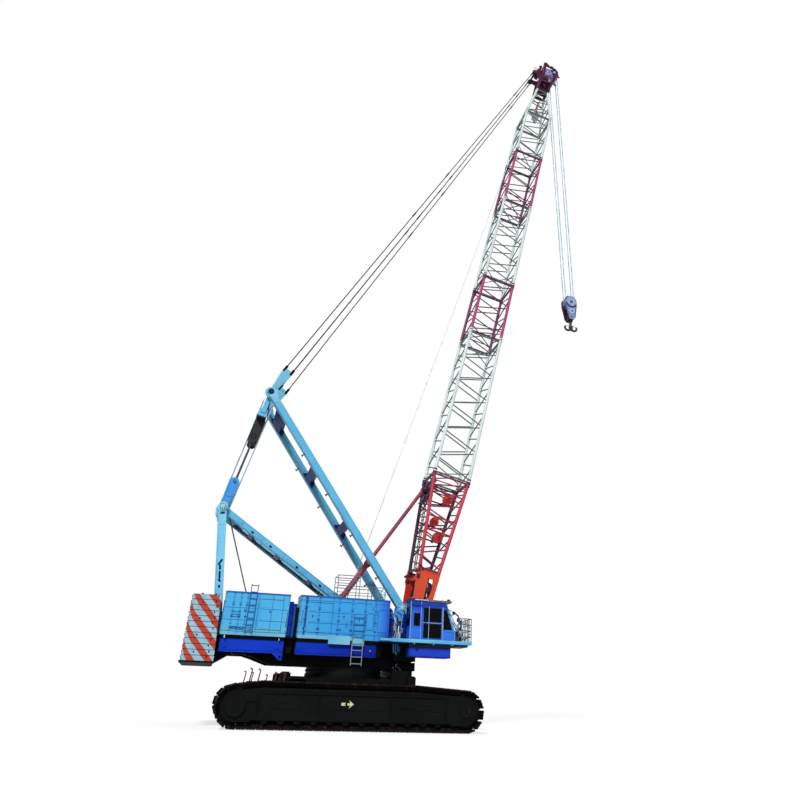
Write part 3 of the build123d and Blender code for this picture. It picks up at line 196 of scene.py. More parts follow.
def surface(name, colours, roughness, metallic=0.0, patch=1.2, specks=0.62, grain=45.0,
            bump=0.004, streak=0.35, zones=(), shine=0.25):
    """A finish of a main colour, a second in broad patches, and a third in drips and specks.

    Each zone gives a direction, where on it the paint starts and ends to change, and to what.
    """
    material = bpy.data.materials.new(name)
    tree = blank_tree(material)
    broad = noise(tree, patch, 5.0, roughness=0.6)
    main, second, third = colours.split()
    colour = mix(tree, ramp(tree, broad, 0.42, 0.66), main, second)
    for direction, start, end, code in zones:
        place = node(tree, "ShaderNodeTexCoord").outputs["Object"]
        along = node(
            tree, "ShaderNodeVectorMath", {0: place, 1: direction}, operation="DOT_PRODUCT"
        ).outputs["Value"]
        colour = mix(tree, ramp(tree, along, start, end), colour, code)
    drips = noise(tree, 1.6, 8.0, (9, 9, 1.1), 0.72)
    colour = mix(tree, ramp(tree, drips, specks, specks + 0.1, 0.0, streak), colour, third)
    gloss = ramp(tree, broad, 0.0, 1.0, roughness - 0.08, roughness + 0.12)
    coat(tree, noise(tree, grain, 3.0), bump, 0.35, {
        "Base Color": colour, "Roughness": gloss, "Metallic": metallic,
        "Specular IOR Level": shine,
    })
    return material


def grow_tree(name, **sockets):
    """A Geometry Nodes tree with named inputs: returns it, its inputs and a way to close it."""
    tree = bpy.data.node_groups.new(name, "GeometryNodeTree")
    kinds = {"Geometry": "Geometry", **sockets, "Material": "Material"}
    for label, kind in kinds.items():
        tree.interface.new_socket(name=label, in_out="INPUT", socket_type="NodeSocket" + kind)
    tree.interface.new_socket(name="Geometry", in_out="OUTPUT", socket_type="NodeSocketGeometry")
    given = node(tree, "NodeGroupInput").outputs

    def close(geometry):
        real = node(tree, "GeometryNodeRealizeInstances", {"Geometry": geometry})
        values = {"Geometry": real, "Material": given["Material"]}
        node(tree, "NodeGroupOutput", {0: node(tree, "GeometryNodeSetMaterial", values)})
        return tree

    return tree, given, close


def fit(name, mesh, material, body, slot, rounding=0.0):
    """Makes a mesh a piece of one finish that moves with a body, or with none."""
    mesh.materials.clear()
    mesh.materials.append(material)
    piece = shown(name, mesh)
    if rounding:
        edge = piece.modifiers.new("rounding", "BEVEL")
        edge.width, edge.segments, edge.limit_method = rounding, 1, "ANGLE"
    if body:
        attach(piece, body)
    return piece


def grow(name, tree, start, values, material, body, slot):
    """Runs a tree on a starting mesh and keeps the result as a plain piece."""
    seed = shown("seed", start)
    growth = seed.modifiers.new("growth", "NODES")
    growth.node_group = tree
    values = {"Material": material, **values}
    for socket in tree.interface.items_tree:
        if socket.in_out == "INPUT" and socket.name in values:
            growth[socket.identifier] = values[socket.name]
    bpy.context.view_layer.update()
    evaluated = seed.evaluated_get(bpy.context.evaluated_depsgraph_get())
    mesh = bpy.data.meshes.new_from_object(evaluated)
    mesh.name = name
    bpy.data.objects.remove(seed)
    return fit(name, mesh, material, body, slot)


def closed(bm):
    """The finished mesh of a bmesh, with its faces pointing outwards."""
    bmesh.ops.recalc_face_normals(bm, faces=bm.faces)
    mesh = bpy.data.meshes.new("shape")
    bm.to_mesh(mesh)
    bm.free()
    return mesh


def about(middle, half):
    """Two values, one on each side of a middle."""
    return (middle - half, middle + half)


def cuboid(bm, x, y, z):
    """A box between two values on each axis."""
    corners = [bm.verts.new((a, b, c)) for a in x for b in y for c in z]
    sides = ((0, 1, 3, 2), (4, 6, 7, 5), (0, 4, 5, 1), (2, 3, 7, 6), (0, 2, 6, 4), (1, 5, 7, 3))
    for side in sides:
        bm.faces.new([corners[i] for i in side])


def disc(bm, centre, radius, y, sides):
    """A round plate across the crane, between two values of y."""
    middle = (centre[0], (y[0] + y[1]) / 2, centre[1])
    bmesh.ops.create_cone(
        bm, cap_ends=True, segments=sides, radius1=radius, radius2=radius,
        depth=abs(y[1] - y[0]),
        matrix=Matrix.Translation(middle) @ Matrix.Rotation(math.pi / 2, 4, "X"),
    )


shoe_steel = surface(
    "cast_manganese_steel", "#100E0D #191412 #4A2C26", 0.72, 0.2, 2.5, 0.54, 30,
    0.006, 0.6, shine=0.08,
)
frame_black = surface(
    "dusty_black_frame_enamel", "#060808 #0C0D0D #221C18", 0.62, 0.0, 1.6, 0.62,
    shine=0.06,
)
tree, given, close = grow_tree("shoe_chain", Shoe="Object", Count="Int")
loop = node(tree, "GeometryNodeMeshToCurve", {"Mesh": given["Geometry"]})
spots = node(
    tree, "GeometryNodeCurveToPoints", {"Curve": loop, "Count": given["Count"]}, mode="COUNT"
)
turned = node(
    tree, "FunctionNodeAlignRotationToVector", {"Vector": spots.outputs["Tangent"]},
    axis="X", pivot_axis="Y",
)
shoe = node(tree, "GeometryNodeObjectInfo", {"Object": given["Shoe"]}).outputs["Geometry"]
shoe_chain = close(node(
    tree, "GeometryNodeInstanceOnPoints", {"Points": spots, "Instance": shoe, "Rotation": turned}
))

SHOE_COUNT, SHOE_LENGTH, PIN_DEPTH = 62, 0.172, 0.06
half = SHOE_LENGTH / 2
for side in ("right", "left"):
    low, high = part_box(f"{side}_track")
    middle_y, half_y = (low.y + high.y) / 2, (high.y - low.y) / 2
    # The line of pins runs inside the outline of the track, clockwise seen from the right
    rim = [Vector((v.co.x, v.co.z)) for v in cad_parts[f"{side}_track"].data.vertices]
    rim = [rim[i] for i in geometry.convex_hull_2d(rim)]
    rim = [p for i, p in enumerate(rim) if (p - rim[i - 1]).length > 1e-4]
    if sum(a.x * b.y - b.x * a.y for a, b in zip(rim, rim[1:] + rim[:1])) > 0:
        rim.reverse()
    points = []
    for before, here, after in zip(rim[-1:] + rim[:-1], rim, rim[1:] + rim[:1]):
        ahead = ((here - before).normalized() + (after - here).normalized()).normalized()
        inward = here + Vector((ahead.y, -ahead.x)) * PIN_DEPTH
        points.append((inward.x, middle_y, inward.y))
    path = bpy.data.meshes.new("pin_line")
    path.from_pydata(points, [(i, (i + 1) % len(points)) for i in range(len(points))], [])
    bm = bmesh.new()
    cuboid(bm, (-half, half), (-half_y, half_y), (0.022, 0.047))
    for bar in (-0.058, 0.0, 0.058):
        cuboid(bm, about(bar, 0.008), (-half_y, half_y), (0.044, PIN_DEPTH - 0.006))
    for rail in (-0.1, 0.1):
        cuboid(bm, (-half, half), about(rail, 0.025), (-0.042, 0.024))
        for bolt in (-0.035, 0.035):
            cuboid(bm, about(bolt, 0.012), about(2.1 * rail, 0.012), (0.045, 0.052))
    disc(bm, (half - 0.005, 0), 0.021, (-0.14, 0.14), 10)
    shoe = shown("shoe", closed(bm))
    piece = grow(
        f"{side}_shoes", shoe_chain, path, {"Shoe": shoe, "Count": SHOE_COUNT},
        shoe_steel, "undercarriage", "track_steel",
    )
    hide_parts(f"{side}_track")
    bpy.data.objects.remove(shoe)

# ------------ track frames and wheels
# Box-section frames welded of thick plate carry the rollers; a bolted drive case covers each
# sprocket at the rear and a cap covers each idler. All are sprayed black and caked with dust.


def dress(material, *names):
    """Gives CAD nodes a finish."""
    for name in names:
        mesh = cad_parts[name].data
        mesh.materials.clear()
        mesh.materials.append(material)


tree, given, close = grow_tree("repeated_item", Item="Object")
item = node(tree, "GeometryNodeObjectInfo", {"Object": given["Item"]}).outputs["Geometry"]
turn, size = (
    node(tree, "GeometryNodeInputNamedAttribute", {"Name": name}, data_type="FLOAT_VECTOR")
    for name in ("turn", "size")
)
spin = node(tree, "FunctionNodeEulerToRotation", {0: turn})
repeated_item = close(node(
    tree, "GeometryNodeInstanceOnPoints",
    {"Points": given["Geometry"], "Instance": item, "Rotation": spin, "Scale": size},
))


def repeat(name, item_mesh, places, material, body, slot):
    """Repeats a small mesh at places given as (point, Euler turn, scale on each axis)."""
    start = bpy.data.meshes.new("places")
    start.from_pydata([point for point, _, _ in places], [], [])
    for label, column in (("turn", 1), ("size", 2)):
        attribute = start.attributes.new(label, "FLOAT_VECTOR", "POINT")
        attribute.data.foreach_set("vector", [n for place in places for n in place[column]])
    item = shown("item", item_mesh)
    grow(name, repeated_item, start, {"Item": item}, material, body, slot)
    bpy.data.objects.remove(item)


def upright(bm, centre, sides, *steps):
    """Round or many-sided steps (radius, top radius, low z, high z) standing on each other."""
    for radius, top, low, high in steps:
        bmesh.ops.create_cone(
            bm, cap_ends=True, segments=sides, radius1=radius, radius2=top, depth=high - low,
            matrix=Matrix.Translation((*centre, (low + high) / 2)),
        )


def bolt_head(radius=0.02, height=0.014):
    """A hexagon bolt head on its washer, standing along +Z."""
    bm = bmesh.new()
    for sides, wide, low, high in ((12, 1.35, 0, 0.25), (6, 1, 0.25, 1)):
        wide *= radius
        upright(bm, (0, 0), sides, (wide, wide * 0.95, height * low, height * high))
    return closed(bm)


UP = (0, 0, 0)
# Each side of the crane, with the turn that makes an upright thing face out of it
SIDES = {-1: (math.pi / 2, 0, 0), 1: (-math.pi / 2, 0, 0)}


def spot(point, facing=UP, size=1.0):
    """A place to repeat an item at: its point, its turn and its size."""
    return (point, facing, (size,) * 3)


def circle(centre, radius, count):
    """Points (x, z) on a circle."""
    turns = (i * math.tau / count for i in range(count))
    return [(centre[0] + radius * math.cos(a), centre[1] + radius * math.sin(a)) for a in turns]


def ring(centre, y, radius, count, size=1.0):
    """Places on circles about an axis across the crane, facing out of both sides."""
    return [
        spot((x, side * y, z), facing, size)
        for side, facing in SIDES.items() for x, z in circle(centre, radius, count)
    ]


def outward(side, inner, outer):
    """Two values of y on one side of the crane, the lower first."""
    return sorted((side * inner, side * outer))


def solids(name, shapes, material, body, slot, rounding=0.0):
    """A piece of boxes (x, y, z) and of discs (centre, radius, y, how many sides)."""
    bm = bmesh.new()
    for shape in shapes:
        (disc if len(shape) == 4 else cuboid)(bm, *shape)
    return fit(name, closed(bm), material, body, slot, rounding)


def proud(face, *rows):
    """Boxes (x, z, height) standing on a face of each side."""
    return [(x, outward(side, face, face + height), z) for side in SIDES for x, z, height in rows]


def paired(shapes, inner, outer):
    """Outlines of plates on both sides, between two distances from the middle."""
    return [(shape, outward(side, inner, outer)) for side in SIDES for shape in shapes]


def slabs(bm, outlines):
    """Makes each outline of (x, z) solid between its two values of y."""
    for points, y in outlines:
        rings = [[bm.verts.new((px, level, pz)) for px, pz in points] for level in y]
        for loop in rings:
            bm.faces.new(loop)
        for i in range(len(points)):
            j = (i + 1) % len(points)
            bm.faces.new((rings[0][i], rings[0][j], rings[1][j], rings[1][i]))


def side_plates(name, outlines, material, body, slot, rounding=0.003):
    """A piece of plates that stand upright along the crane."""
    bm = bmesh.new()
    slabs(bm, outlines)
    return fit(name, closed(bm), material, body, slot, rounding)


dress(frame_black, "right_track_frame", "left_track_frame", "drive_sprockets", "idlers",
      "track_rollers")
plate_y, wheel_x, wheel_z = -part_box("right_track_frame")[0].y, 2.38, 0.4
ROW_BOLTS = 26
places = ring((-wheel_x, wheel_z), plate_y + 0.055, 0.155, 12, 0.9)
places += ring((wheel_x, wheel_z), plate_y + 0.03, 0.095, 10, 0.8)
places += [
    spot((-span + i * 2 * span / (ROW_BOLTS - 1), side * plate_y, row_z), facing, 0.7)
    for side, facing in SIDES.items() for row_z, span in ((0.34, 1.95), (0.7, 1.6))
    for i in range(ROW_BOLTS)
]
repeat("track_frame_bolts", bolt_head(), places, shoe_steel, "undercarriage", "track_steel")

# Cover plates, stiffening ribs, short steps and clips on the outer side of each frame
ribs = [
    ((-1.62, -1.1), (0.36, 0.56), 0.012), ((1.25, 1.8), (0.38, 0.6), 0.012),
    ((-0.5, 0.62), (0.36, 0.6), 0.008), ((-1.9, 1.9), (0.625, 0.655), 0.03),
]
ribs += [(about(x, 0.012), (0.24, 0.625), 0.03) for x in (-1.95, -0.75, 0.75, 1.95)]
ribs += [
    (about(x, 0.12), (z, z + 0.014), 0.022)
    for x, z in ((-2.05, 0.475), (-1.45, 0.46), (1.1, 0.41), (1.52, 0.475), (1.52, 0.4))
]
ribs += [(about(x, 0.035), (0.66, 0.73), 0.02) for x in (-2.32, -1.1, 1.1, 2.3)]
solids("track_frame_ribs", proud(plate_y, *ribs), frame_black, "undercarriage", "track_steel",
       0.003)

# Forward mark: an arrow and its tail, cut from pale painted sheet
mark_paint = surface("chalky_cream_enamel", "#CDC9A2 #A8A27C #5A5340", 0.6)
arrow = ((-0.16, 0.455), (-0.1, 0.455), (-0.13, 0.405), (-0.03, 0.475), (-0.13, 0.545),
         (-0.1, 0.495), (-0.16, 0.495))
tail = ((-0.285, 0.45), (-0.2, 0.45), (-0.2, 0.465), (-0.25, 0.475), (-0.2, 0.488),
        (-0.2, 0.5), (-0.285, 0.5))
side_plates("forward_marks", paired((arrow, tail), plate_y + 0.009, plate_y + 0.014),
            mark_paint, "undercarriage", "track_steel", 0)

# A web along the middle of each frame closes the view between the wheels and the shoes
web = [(x * 0.987, 0.43 + (z - 0.43) * 0.905) for x, _, z in points]
side_plates("track_frame_webs", paired((web,), *about(abs(middle_y), 0.01)), frame_black,
            "undercarriage", "track_steel")

# ------------ carbody
# A welded box of thick plate with axle beams, wings and four jack cylinders, sprayed black.
# The slewing ring of machined steel is bolted on it, and bent steps are welded to its wings.

carbody_black = surface("carbody_enamel", "#06080A #0C0E10 #221C18", 0.55, shine=0.06)
ring_steel = surface("machined_ring_steel", "#101112 #191817 #2E2018", 0.5, 0.4, shine=0.1)
dress(carbody_black, "carbody", "carbody_jacks")
dress(ring_steel, "slew_ring")
RING_BOLTS, STEP_Y = 60, 1.31
low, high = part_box("slew_ring")
places = [
    ((high.x * math.cos(a), high.x * math.sin(a), (low.z + high.z) / 2),
     (0, math.pi / 2, a), (0.9, 0.9, 1.2))
    for a in (i * math.tau / RING_BOLTS for i in range(RING_BOLTS))
]
repeat("ring_bolts", bolt_head(), places, ring_steel, "undercarriage", "machine_grey")

tree, given, close = grow_tree("bars_on_edges", Radius="Float", Sides="Int")


def tube(tree, line, sides, radius):
    """Runs a round profile along a curve, capped and shaded smooth."""
    values = {"Resolution": sides, "Radius": radius}
    profile = node(tree, "GeometryNodeCurvePrimitiveCircle", values, mode="RADIUS")
    values = {"Curve": line, "Profile Curve": profile, "Fill Caps": True}
    return node(tree, "GeometryNodeCurveToMesh", values)


lines = node(tree, "GeometryNodeMeshToCurve", {"Mesh": given["Geometry"]})
tubes = tube(tree, lines, given["Sides"], given["Radius"])
bars_on_edges = close(node(tree, "GeometryNodeSetShadeSmooth", {"Geometry": tubes}).outputs[0])


def bars(name, lines, radius, material, body, slot, sides=8):
    """Round bars of one thickness along lines of points."""
    start = bpy.data.meshes.new("lines")
    points, edges = [], []
    for line in lines:
        edges += [(len(points) + i, len(points) + i + 1) for i in range(len(line) - 1)]
        points += [tuple(point) for point in line]
    start.from_pydata(points, edges, [])
    values = {"Radius": radius, "Sides": sides}
    return grow(name, bars_on_edges, start, values, material, body, slot)


# Bent steps of rusty bar on the rear wings, and the plates they stand on
rusty_steel = surface("rusted_bar_steel", "#5A2226 #7A4030 #2A1216", 0.75, 0.2, 6, 0.5)
STEP_TOP = {-2.12: 1.05, -1.95: 1.04, -1.61: 0.995, -1.43: 0.985}
steps = [
    [(x - 0.03, y, 0.83), (x, y, top), (x - 0.045, y, top + 0.02)]
    for x, top in STEP_TOP.items() for y in (-STEP_Y, STEP_Y)
]
bars("carbody_steps", steps, 0.014, rusty_steel, "undercarriage", "track_steel")
solids(
    "step_plates",
    proud(1.0, ((-2.2, -0.98), (0.815, 0.835), 0.325))
    + proud(0.7, ((-1.35, -0.98), (0.9, 0.955), 0.625)),
    frame_black, "undercarriage", "track_steel", 0.003,
)

# Drive pipes where the hydraulic lines come down through the ring
pipe_grey = surface("zinc_plated_pipe", "#8E9AA0 #5A646A #2A2622", 0.4, 0.7, 8)
lines = []
for side in SIDES:
    for step in range(4):
        x, y = 1.02 + 0.05 * step, side * (0.35 + 0.06 * step)
        lines.append([(0.9, y * 0.6, 1.02), (x, y * 0.8, 1.0), (x + 0.1, y, 0.9),
                      (x + 0.14, y * 1.3, 0.82), (x, side * 1.38, 0.78)])
bars("drive_pipes", lines, 0.014, pipe_grey, "undercarriage", "machine_grey")

# ------------ revolving frame
# Two deep plate girders and the deck between them. Below the deck everything is sprayed
# blue, drawn nearly black as painted shade; the side beams keep their strong blue.

# Blue frame paint drawn nearly black: painted shade under the deck and inside the houses
shade_painted_blue = surface("blue_frame_enamel_in_painted_shade", "#05080D #070B14 #181512", 0.55, shine=0.06)
# Side-beam paint: darker towards the front, and nearly black along the top as painted shadow under
# the deck's edge
beam_blue = surface(
    "deep_blue_enamel_with_painted_top_shadow", "#0634BC #0430A6 #0A1230", 0.5, shine=0.1,
    zones=(((1, 0, 0), -1.5, 0.6, "#041C86"), ((0, 0, 1), 1.6, 1.606, "#0A0D12")),
)
trim_blue = surface("faded_trim_enamel", "#5AA2C4 #78B4C8 #2C4F66", 0.5)
pale_steel = surface("pale_painted_steel", "#B9C4C4 #8FA0A2 #4A4A40", 0.5)
dress(shade_painted_blue, "revolving_frame")
dress(beam_blue, "side_beams")
_, (_, deck_edge, deck_top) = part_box("revolving_frame")
spans = [
    (x, outward(side, deck_edge, deck_edge + 0.01), (deck_top - 0.012, deck_top + 0.055))
    for side in SIDES for x in ((-2.9, -1.545), (-1.28, 0.1 if side < 0 else 0.74))
]
spans += [
    ((-0.6, -0.115), (-deck_edge - 0.018, -deck_edge), (deck_top - 0.1, deck_top + 0.07)),
    ((-0.07, 0.2), (-deck_edge - 0.016, -deck_edge), (deck_top - 0.11, deck_top + 0.05)),
]
solids("deck_trim", spans, trim_blue, "upperworks", "gantry_blue", 0.003)

# Flanges and stiffeners of the beams, and lashing lugs low on them
beam_low, (_, beam_edge, beam_top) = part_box("side_beams")
rows = []
for x in ((-2.88, -1.54), (-1.28, 0.5)):
    rows.append((x, (beam_low.z + 0.158, beam_low.z + 0.172), 0.01))
    rows.append((x, (beam_top - 0.02, beam_top), 0.01))
for x in (-2.86, -1.56, -1.26, 0.48):
    rows.append((about(x, 0.008), (beam_low.z + 0.16, beam_top), 0.01))
rows += [
    (about(x, 0.04), (beam_low.z + 0.2, beam_low.z + 0.26), 0.018)
    for x in (-2.78, -1.68, -1.2, 0.38)
]
solids("side_beam_flanges", proud(beam_edge, *rows), beam_blue, "upperworks", "deck_blue", 0.002)
clips = ((-2.8, 1.64, 0.028), (-1.66, 1.625, 0.02), (-2.96, 1.33, 0.02), (0.12, 1.655, 0.022),
         (0.35, 1.49, 0.016))
spans = [
    (about(x, size / 2), (-deck_edge - 0.012, -deck_edge + 0.02), about(z, size))
    for x, z, size in clips
]
solids("small_pale_clips", spans, pale_steel, "upperworks", "gantry_blue", 0.002)

# Cross-webs and pipe runs seen between the girders from below
WEB_START, WEB_END = 0.622, deck_edge - 0.21
webs = [(about(x, 0.012), (1.55, 1.655), WEB_END - WEB_START)
        for x in (-2.7, -2.2, -1.75, -1.2, -0.6, 0.3, 0.9)]
solids("outrigger_webs", proud(WEB_START, *webs), shade_painted_blue, "upperworks", "deck_blue")
lines = [
    [(x, side * (0.8 + 0.05 * i), 1.64) for x in (-2.6, 0.6)] for side in SIDES for i in range(4)
]
bars("deck_pipes", lines, 0.014, shade_painted_blue, "upperworks", "machine_grey")

# A guard and grease lines hang under the front of the frame, clear of the jacks below
hang = max(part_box("carbody")[1].z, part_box("carbody_jacks")[1].z) + 0.012
spans = [((0.93, 1.54), about(y, 0.03), (hang, 1.32)) for y in (-0.6, -0.2, 0.2, 0.6)]
spans += [(x, (-0.6, 0.6), (hang, 1.32)) for x in ((0.93, 0.95), (1.5, 1.56))]
solids("front_belly_guard", spans, shade_painted_blue, "upperworks", "deck_blue", 0.003)
bits = []
for i in range(5):
    x, z = 1.03 + 0.045 * i, 1.23 + 0.06 * math.sin(4.1 * i)
    bend = x + 0.04 * math.sin(2.3 * i)
    bits.append([(x, -0.64, z), (bend, -0.66, z - 0.05), (x + 0.03, -0.64, z - 0.07)])
bars("grease_line_bends", bits, 0.006, pale_steel, "upperworks", "machine_grey", 6)

# ------------ counterweights
# Cast slabs stacked on a tray. Their faces are painted pale blue with warning stripes of
# red-brown, rolled on by hand, and the paint has chalked; each has a pair of lifting stubs.

STRIPE_PITCH, STRIPE_LEAN, STRIPE_SHARE, STRIPE_START = 0.355, 0.976, 0.48, 5.968
SLABS, SLAB_PITCH, STUB_UP = 12, 0.1055, 0.075
weight_low, weight_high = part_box("right_counterweight")
stripes = bpy.data.materials.new("chalked_weight_paint_striped")
tree = blank_tree(stripes)
place = node(tree, "ShaderNodeTexCoord").outputs["Object"]
axes = node(tree, "ShaderNodeSeparateXYZ", {0: place}).outputs


def sums(tree, value, *steps):
    """Runs a value through (operation, other) steps of plain arithmetic."""
    for operation, other in steps:
        value = node(tree, "ShaderNodeMath", {0: value, 1: other}, operation=operation)
    return value


wobble = sums(tree, noise(tree, 9.0, 4.0), ("MULTIPLY", 0.03))
across = sums(tree, axes[1], ("ABSOLUTE", 0.0), ("ADD", axes[0]))
share = sums(
    tree, axes[2], ("MULTIPLY", STRIPE_LEAN), ("ADD", across), ("ADD", STRIPE_START),
    ("ADD", wobble), ("DIVIDE", STRIPE_PITCH), ("FRACT", 0.0),
)
chalk = noise(tree, 3.0, 6.0, (3, 3, 1.2))
stains = noise(tree, 1.4, 8.0, (8, 8, 1))
blue_paint, red_paint = (
    mix(tree, chalk, *codes) for codes in (("#74A0B8", "#9CBFCC"), ("#B8402E", "#96382C"))
)
colour = mix(
    tree, ramp(tree, share, STRIPE_SHARE + 0.015, STRIPE_SHARE - 0.015), blue_paint, red_paint
)
colour = mix(tree, ramp(tree, stains, 0.58, 0.72, 0.0, 0.5), colour, "#3E4A4C")
# The open joint between two slabs holds dirt and shade
depth = sums(
    tree, axes[2], ("SUBTRACT", weight_low.z - 0.002), ("DIVIDE", SLAB_PITCH), ("FRACT", 0.0)
)
colour = mix(tree, ramp(tree, depth, 0.9, 0.93), colour, "#0C1216")
coat(tree, stains, 0.006, 0.3,
     {"Base Color": colour, "Roughness": 0.7, "Specular IOR Level": 0.15})
dress(stripes, "right_counterweight", "left_counterweight")
dress(frame_black, "counterweight_tray")

bm = bmesh.new()
disc(bm, (0, 0), 0.014, (-0.011, 0.011), 10)
stub = closed(bm)
places = []
for index in range(SLABS):
    z = weight_low.z + index * SLAB_PITCH + STUB_UP
    for side in SIDES:
        y = side * (-weight_low.y + 0.008)
        places.append(spot((-3.09 + 0.03 * (index % 2), y, z)))
        if index % 3 == 1:
            places.append(spot((-3.36, y, z - 0.02)))
        places.append(((weight_low.x - 0.004, side * 0.98, z), (0, 0, math.pi / 2), (1.6, 1, 1.6)))
repeat("slab_stubs", stub, places, frame_black, "upperworks", "weight_blue")
rods = [
    [(x, side * y, weight_high.z - 0.01), (x, side * y, weight_high.z + 0.035)]
    for side in SIDES for x in (-3.4, -3.12) for y in (0.8, 1.15)
]
bars("slab_tie_rods", rods, 0.022, frame_black, "upperworks", "weight_blue")

# ------------ machinery houses
# Folded sheet-steel hoods. Pressed panels are bolted on a frame with an open seam between
# them, sprayed sky blue; the frame is drawn dark behind the seams as painted shade, and the hinges
# and louvres are darker.

hood_blue = surface(
    "sky_blue_hood_enamel", "#41A0D2 #54ACD4 #1C5FA8", 0.42, streak=0.25,
    zones=(((0, 0, -1), -1.84, -1.8, "#58A4BC"),),
)
# The front hoods are lighter towards the rear and darker at their front end: painted light and
# painted shade
front_hood_lit_and_shaded_blue = surface(
    "blue_hood_enamel", "#3192D0 #2C84C6 #173F7C", 0.42, streak=0.25,
    zones=(((-1, 0, 0), 0.5, 1.3, "#3E9CD0"), ((1, 0, 0), 0.42, 0.7, "#1C55C0")),
)
seam_blue = surface("seam_blue_enamel", "#15549E #0E3E86 #0A1C3C", 0.5)
black_rubber = surface("black_rubber", "#101112 #1A1A1A #2A2622", 0.8)
# The frame is drawn dark behind the seams, as painted shade in them, and sky blue where its hinges
# stand proud of the panels
hood_frame_seam_shade = surface(
    "hood_frame_enamel_painted_seam_shade", "#15549E #0E3E86 #0A1C3C", 0.5,
    zones=[((0, side, 0), deck_edge + 0.007, deck_edge + 0.009, "#3C98D0") for side in SIDES],
)
dress(hood_frame_seam_shade, "right_rear_house", "right_front_house", "left_rear_house", "left_front_house",
      "right_rear_house_door", "right_front_house_door", "left_front_house_door")
dress(carbody_black, "engine")
SEAM, SHEET, FIELD, STRIP, THIN = 0.009, 0.007, 0.004, 0.05, 0.03
panel_y = deck_edge + SHEET
inner_strip = (0.645, 0.935)
front_seams = ((-1.17, -0.86, -0.42, -0.12, 0.18, 0.42), (0.109, 0.3, 0.52, 0.75))
rear_levels = (0.06, 0.28, 0.516)
# House, side, x of the seams, z of the seams above the deck, whether it has a door, paint
hood_table = (
    ("right_rear_house", -1, (-2.724, -2.573, -2.437), rear_levels, True, hood_blue),
    ("right_front_house", -1, *front_seams, True, front_hood_lit_and_shaded_blue),
    ("left_rear_house", 1, (-2.6, -2.24, -1.88), rear_levels, False, hood_blue),
    ("left_front_house", 1, *front_seams, True, front_hood_lit_and_shaded_blue),
)


def within(low, high, border):
    """A span less a border at each of its ends."""
    return (low + border, high - border)


for house, side, seams_x, seams_z, has_door, paint in hood_table:
    low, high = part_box(house)
    levels = [low.z] + [low.z + h for h in seams_z] + [high.z]
    hole_x = hole_z = ()
    if has_door:
        door_low, door_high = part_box(f"{house}_door")
        hole_x = (door_low.x - 0.005, door_high.x + 0.005)
        hole_z = (door_low.z - 0.005, door_high.z + 0.005)
        if side < 0 and "rear" in house:
            seams_x = (*seams_x, -1.894)
    body_sheets, door_sheets = bmesh.new(), bmesh.new()
    columns = sorted({low.x, high.x, *seams_x, *hole_x})
    for left, right in zip(columns, columns[1:]):
        x = within(left, right, SEAM / 2)
        in_hole = has_door and left >= hole_x[0] - 1e-6 and right <= hole_x[1] + 1e-6
        cuts = sorted({*levels, *(hole_z if in_hole else ())})
        for bottom, top in zip(cuts, cuts[1:]):
            on_door = in_hole and bottom >= hole_z[0] - 1e-6 and top <= hole_z[1] + 1e-6
            target = door_sheets if on_door else body_sheets
            if right - left > STRIP and top - bottom > THIN:
                skin = outward(side, deck_edge, panel_y)
                cuboid(target, x, skin, within(bottom, top, SEAM / 2))
                if top - bottom > 0.15 and right - left > 0.24:
                    # A pressed field stands proud inside the larger sheets
                    field = outward(side, panel_y, panel_y + FIELD)
                    cuboid(target, within(*x, 0.03), field, within(bottom, top, 0.03))
        # The roof sheets follow the same columns
        if right - left > STRIP:
            for span in (inner_strip, (0.945, deck_edge - 0.004)):
                cuboid(body_sheets, x, outward(side, *span), (high.z, high.z + SHEET))
    # Sheets on the front and the rear
    for x_skin in ((low.x - SHEET, low.x), (high.x, high.x + SHEET)):
        for span in (inner_strip, (0.945, 1.235)):
            for pair in zip(levels, levels[1:]):
                cuboid(body_sheets, x_skin, outward(side, *span), within(*pair, SEAM / 2))
    fit(f"{house}_panels", closed(body_sheets), paint, "upperworks", "hood_blue", 0.002)
    if has_door:
        door_body = house.replace("house", "hood") + "_door"
        fit(f"{house}_door_panels", closed(door_sheets), paint, door_body, "hood_blue", 0.002)
    else:
        door_sheets.free()

# Rolled lips round the roofs, and the hinge straps and bolts of the panels
spans, places = [], []
for house, side, seams_x, seams_z, _, _ in hood_table:
    low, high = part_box(house)
    lip = (high.z - 0.022, high.z + 0.012)
    spans += [
        ((low.x, high.x), outward(side, deck_edge - 0.01, deck_edge + 0.012), lip),
        ((low.x, high.x), outward(side, 0.63, 0.645), lip),
        ((low.x - 0.012, low.x), outward(side, 0.65, deck_edge), lip),
        ((high.x, high.x + 0.012), outward(side, 0.65, deck_edge), lip),
    ]
    for z in (seams_z[0] + 0.06, seams_z[1] + 0.06, seams_z[2] + 0.05):
        z += low.z
        strap = outward(side, panel_y, deck_edge + 0.014)
        spans += [(about(x, 0.03), strap, (z, z + 0.022)) for x in seams_x]
    for x in (low.x, *seams_x, high.x):
        for h in (0.03, 0.09, 0.2, 0.34, 0.46, 0.62, 0.72, 0.8):
            places += [
                spot((near, side * panel_y, low.z + h), SIDES[side])
                for near in about(x, 0.02) if low.x < near < high.x
            ]
solids("hood_lips_and_hinges", spans, seam_blue, "upperworks", "hood_blue", 0.002)
repeat("hood_bolts", bolt_head(0.007, 0.007), places, seam_blue, "upperworks", "hood_blue")

# Louvres, latches and grab handles on the hoods
bm = bmesh.new()
cuboid(bm, (-0.5, 0.5), (-0.5, 0.5), (-0.5, 0.5))
unit_block = closed(bm)
SLAT_TILT = math.radians(35)
